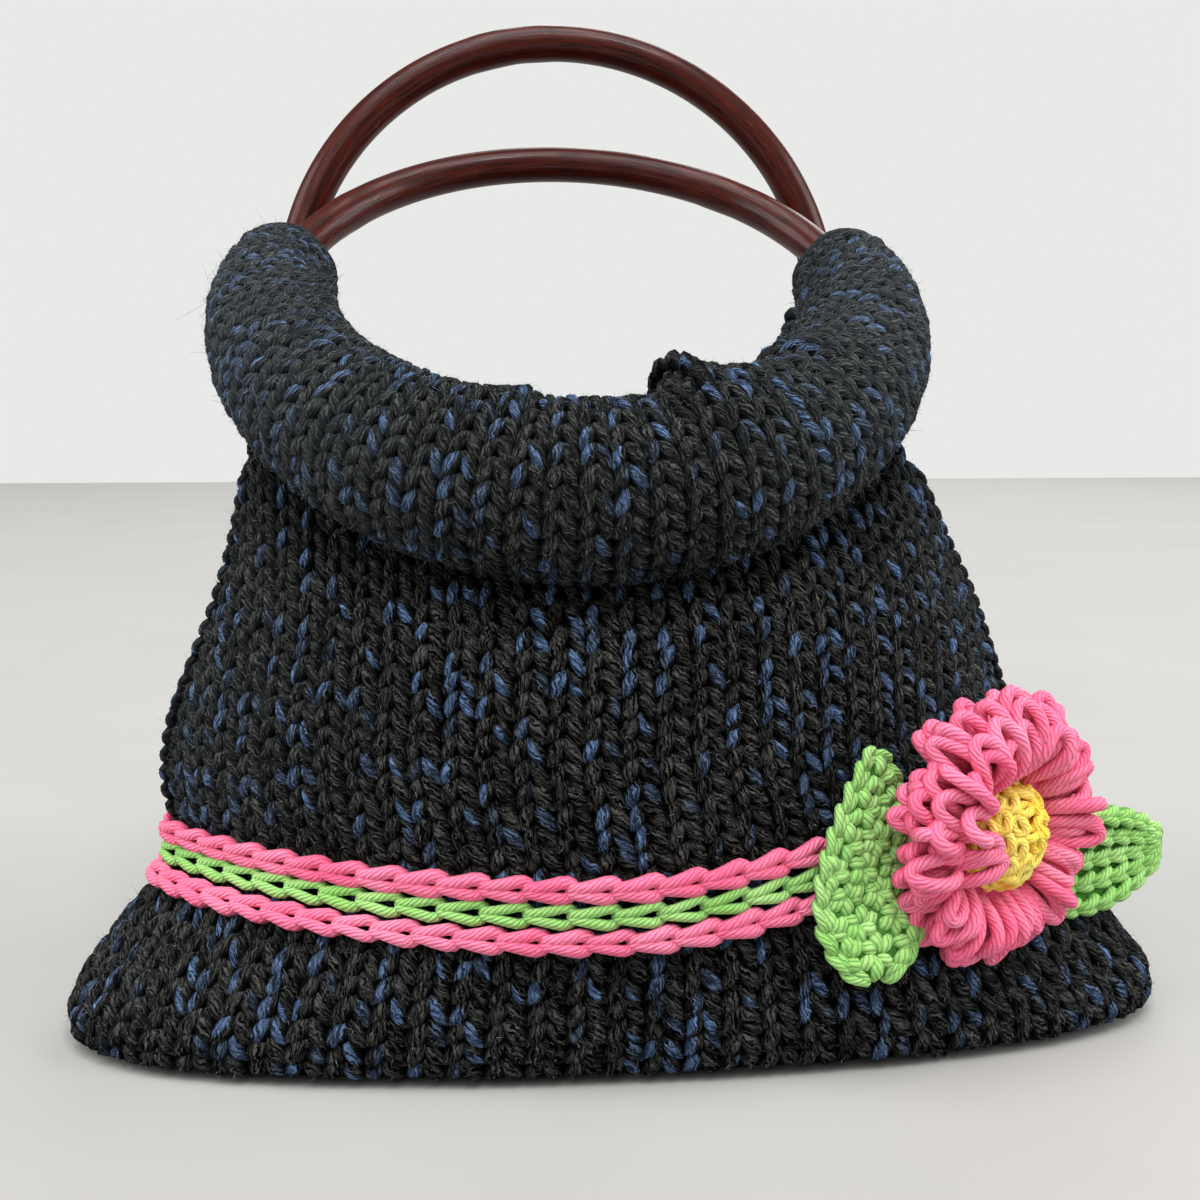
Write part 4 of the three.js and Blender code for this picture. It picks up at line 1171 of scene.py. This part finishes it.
layStrands("leafLeftEdge", path, out, size, size, leaf["sides"], greenYarn)
liningPiece("leafLeftCore", "leaf_left", leaf["drawIn"], leafBacking)

leafAxes, leafAt = sprayFrame(
    leaf["right"]["turn"], flower["x"], flower["z"], leaf["off"], leaf["right"]["z"])


def rightLeafPoint(share, across, lift):
    wide = np.maximum(np.sin(np.pi * (0.12 + 0.88 * share)), 0.12) ** 0.62
    half = leaf["right"]["width"] / 2
    y = half * wide * across
    z = lift + leaf["right"]["cup"] * (y / half) ** 2
    return np.stack([leaf["right"]["start"] + leaf["right"]["length"] * share, y, z], -1)


paths, outs, sizes = [], [], []
for face in (1, -1):
    for rib in np.linspace(-0.9, 0.9, leaf["right"]["ribs"]):
        share = np.linspace(0.02, 0.98, leaf["ribPoints"])
        points = rightLeafPoint(share, np.full(len(share), rib), face * (1.3 if abs(rib) < 0.85 else 0.6))
        out = np.tile([0.0, 0.25 * rib * face, float(face)], (len(share), 1))
        path, out, size = evenChain(lineFrame(points, out), **leaf["right"]["rib"])
        paths.append(path @ leafAxes.T + leafAt)
        outs.append(out @ leafAxes.T)
        sizes.append(size)
paths, outs, sizes = map(np.concatenate, (paths, outs, sizes))
piece = layStrands("leafRightCrochet", paths, outs, sizes, sizes, leaf["sides"], greenYarn)
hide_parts("leaf_right")
liningPiece("leafRightCore", "leaf_right", leaf["drawIn"], leafBacking)
print("leaves crocheted")


# floor and light: a plain pale floor, matt and a little cloudy, in a white room
studio = {  # cloud: mm across
    "floorSize": 5.0, "cloud": 111.111, "floorRough": 0.9, "aim": (0, 0, 0.12),
    "floor": "#a8a7a4", "shade": "#9f9e9b", "wall": "#e9eae8", "wallPower": 1.0, "roomPower": 0.2,
    "sky": {"power": 2.85, "lean": 16.0, "turn": -12.0, "spread": 50.0},
    "fills": [  # name, place, size, power
        ("leftFill", (-2.4, -0.3, 1.3), 1.8, 48.0), ("rightFill", (2.4, -0.5, 1.3), 1.8, 56.0),
        ("frontFill", (-0.7, -2.3, 2.0), 1.8, 19.0), ("backFill", (0.8, 2.4, 1.9), 1.8, 29.0),
        ("glint", (0.25, -0.6, 1.3), 0.14, 2.4)],
}
bpy.ops.object.select_all(action="DESELECT")
bpy.ops.mesh.primitive_plane_add(size=studio["floorSize"])
floor = bpy.context.object
floor.name = "paleFloor"
floorMaterial, floorTree = newMaterial("paleCottonFloor")
floorPlace = addNode(floorTree, "TexCoord").outputs["Object"]
floorCloud = addNode(floorTree, "TexNoise", {
    "Vector": floorPlace, "Scale": 1 / (studio["cloud"] * mm), "Detail": 3.0})
floorTone = addNode(floorTree, "Mix", {
    "Factor": floorCloud, "A": linearColour(studio["shade"]), "B": linearColour(studio["floor"])},
    data_type="RGBA")
floorShader = addNode(floorTree, "BsdfPrincipled", {
    "Base Color": floorTone, "Roughness": studio["floorRough"]})
addNode(floorTree, "OutputMaterial", [floorShader])
floor.data.materials.append(floorMaterial)

world = bpy.data.worlds.new("paleStudio")
world.use_nodes = True
worldTree = world.node_tree
worldTree.nodes.clear()
seen = addNode(worldTree, "LightPath").outputs["Is Camera Ray"]
room = addNode(worldTree, "Background", [linearColour(studio["wall"]), studio["roomPower"]])
wall = addNode(worldTree, "Background", [linearColour(studio["wall"]), studio["wallPower"]])
both = addNode(worldTree, "MixShader", [seen, room, wall])
addNode(worldTree, "OutputWorld", [both])
bpy.context.scene.world = world
skyLean, skyTurn = math.radians(studio["sky"]["lean"]), math.radians(studio["sky"]["turn"])
bpy.ops.object.light_add(type="SUN", rotation=(skyLean, 0, skyTurn))
sky = bpy.context.object
sky.name = "softSky"
sky.data.energy = studio["sky"]["power"]
sky.data.angle = math.radians(studio["sky"]["spread"])
for name, place, size, power in studio["fills"]:
    bpy.ops.object.light_add(type="AREA", location=place)
    fill = bpy.context.object
    fill.name = name
    fill.data.size = size
    fill.data.energy = power
    fill.rotation_euler = (Vector(studio["aim"]) - fill.location).to_track_quat("-Z", "Y").to_euler()
bpy.context.scene.view_settings.view_transform = "Standard"
print("studio lit")
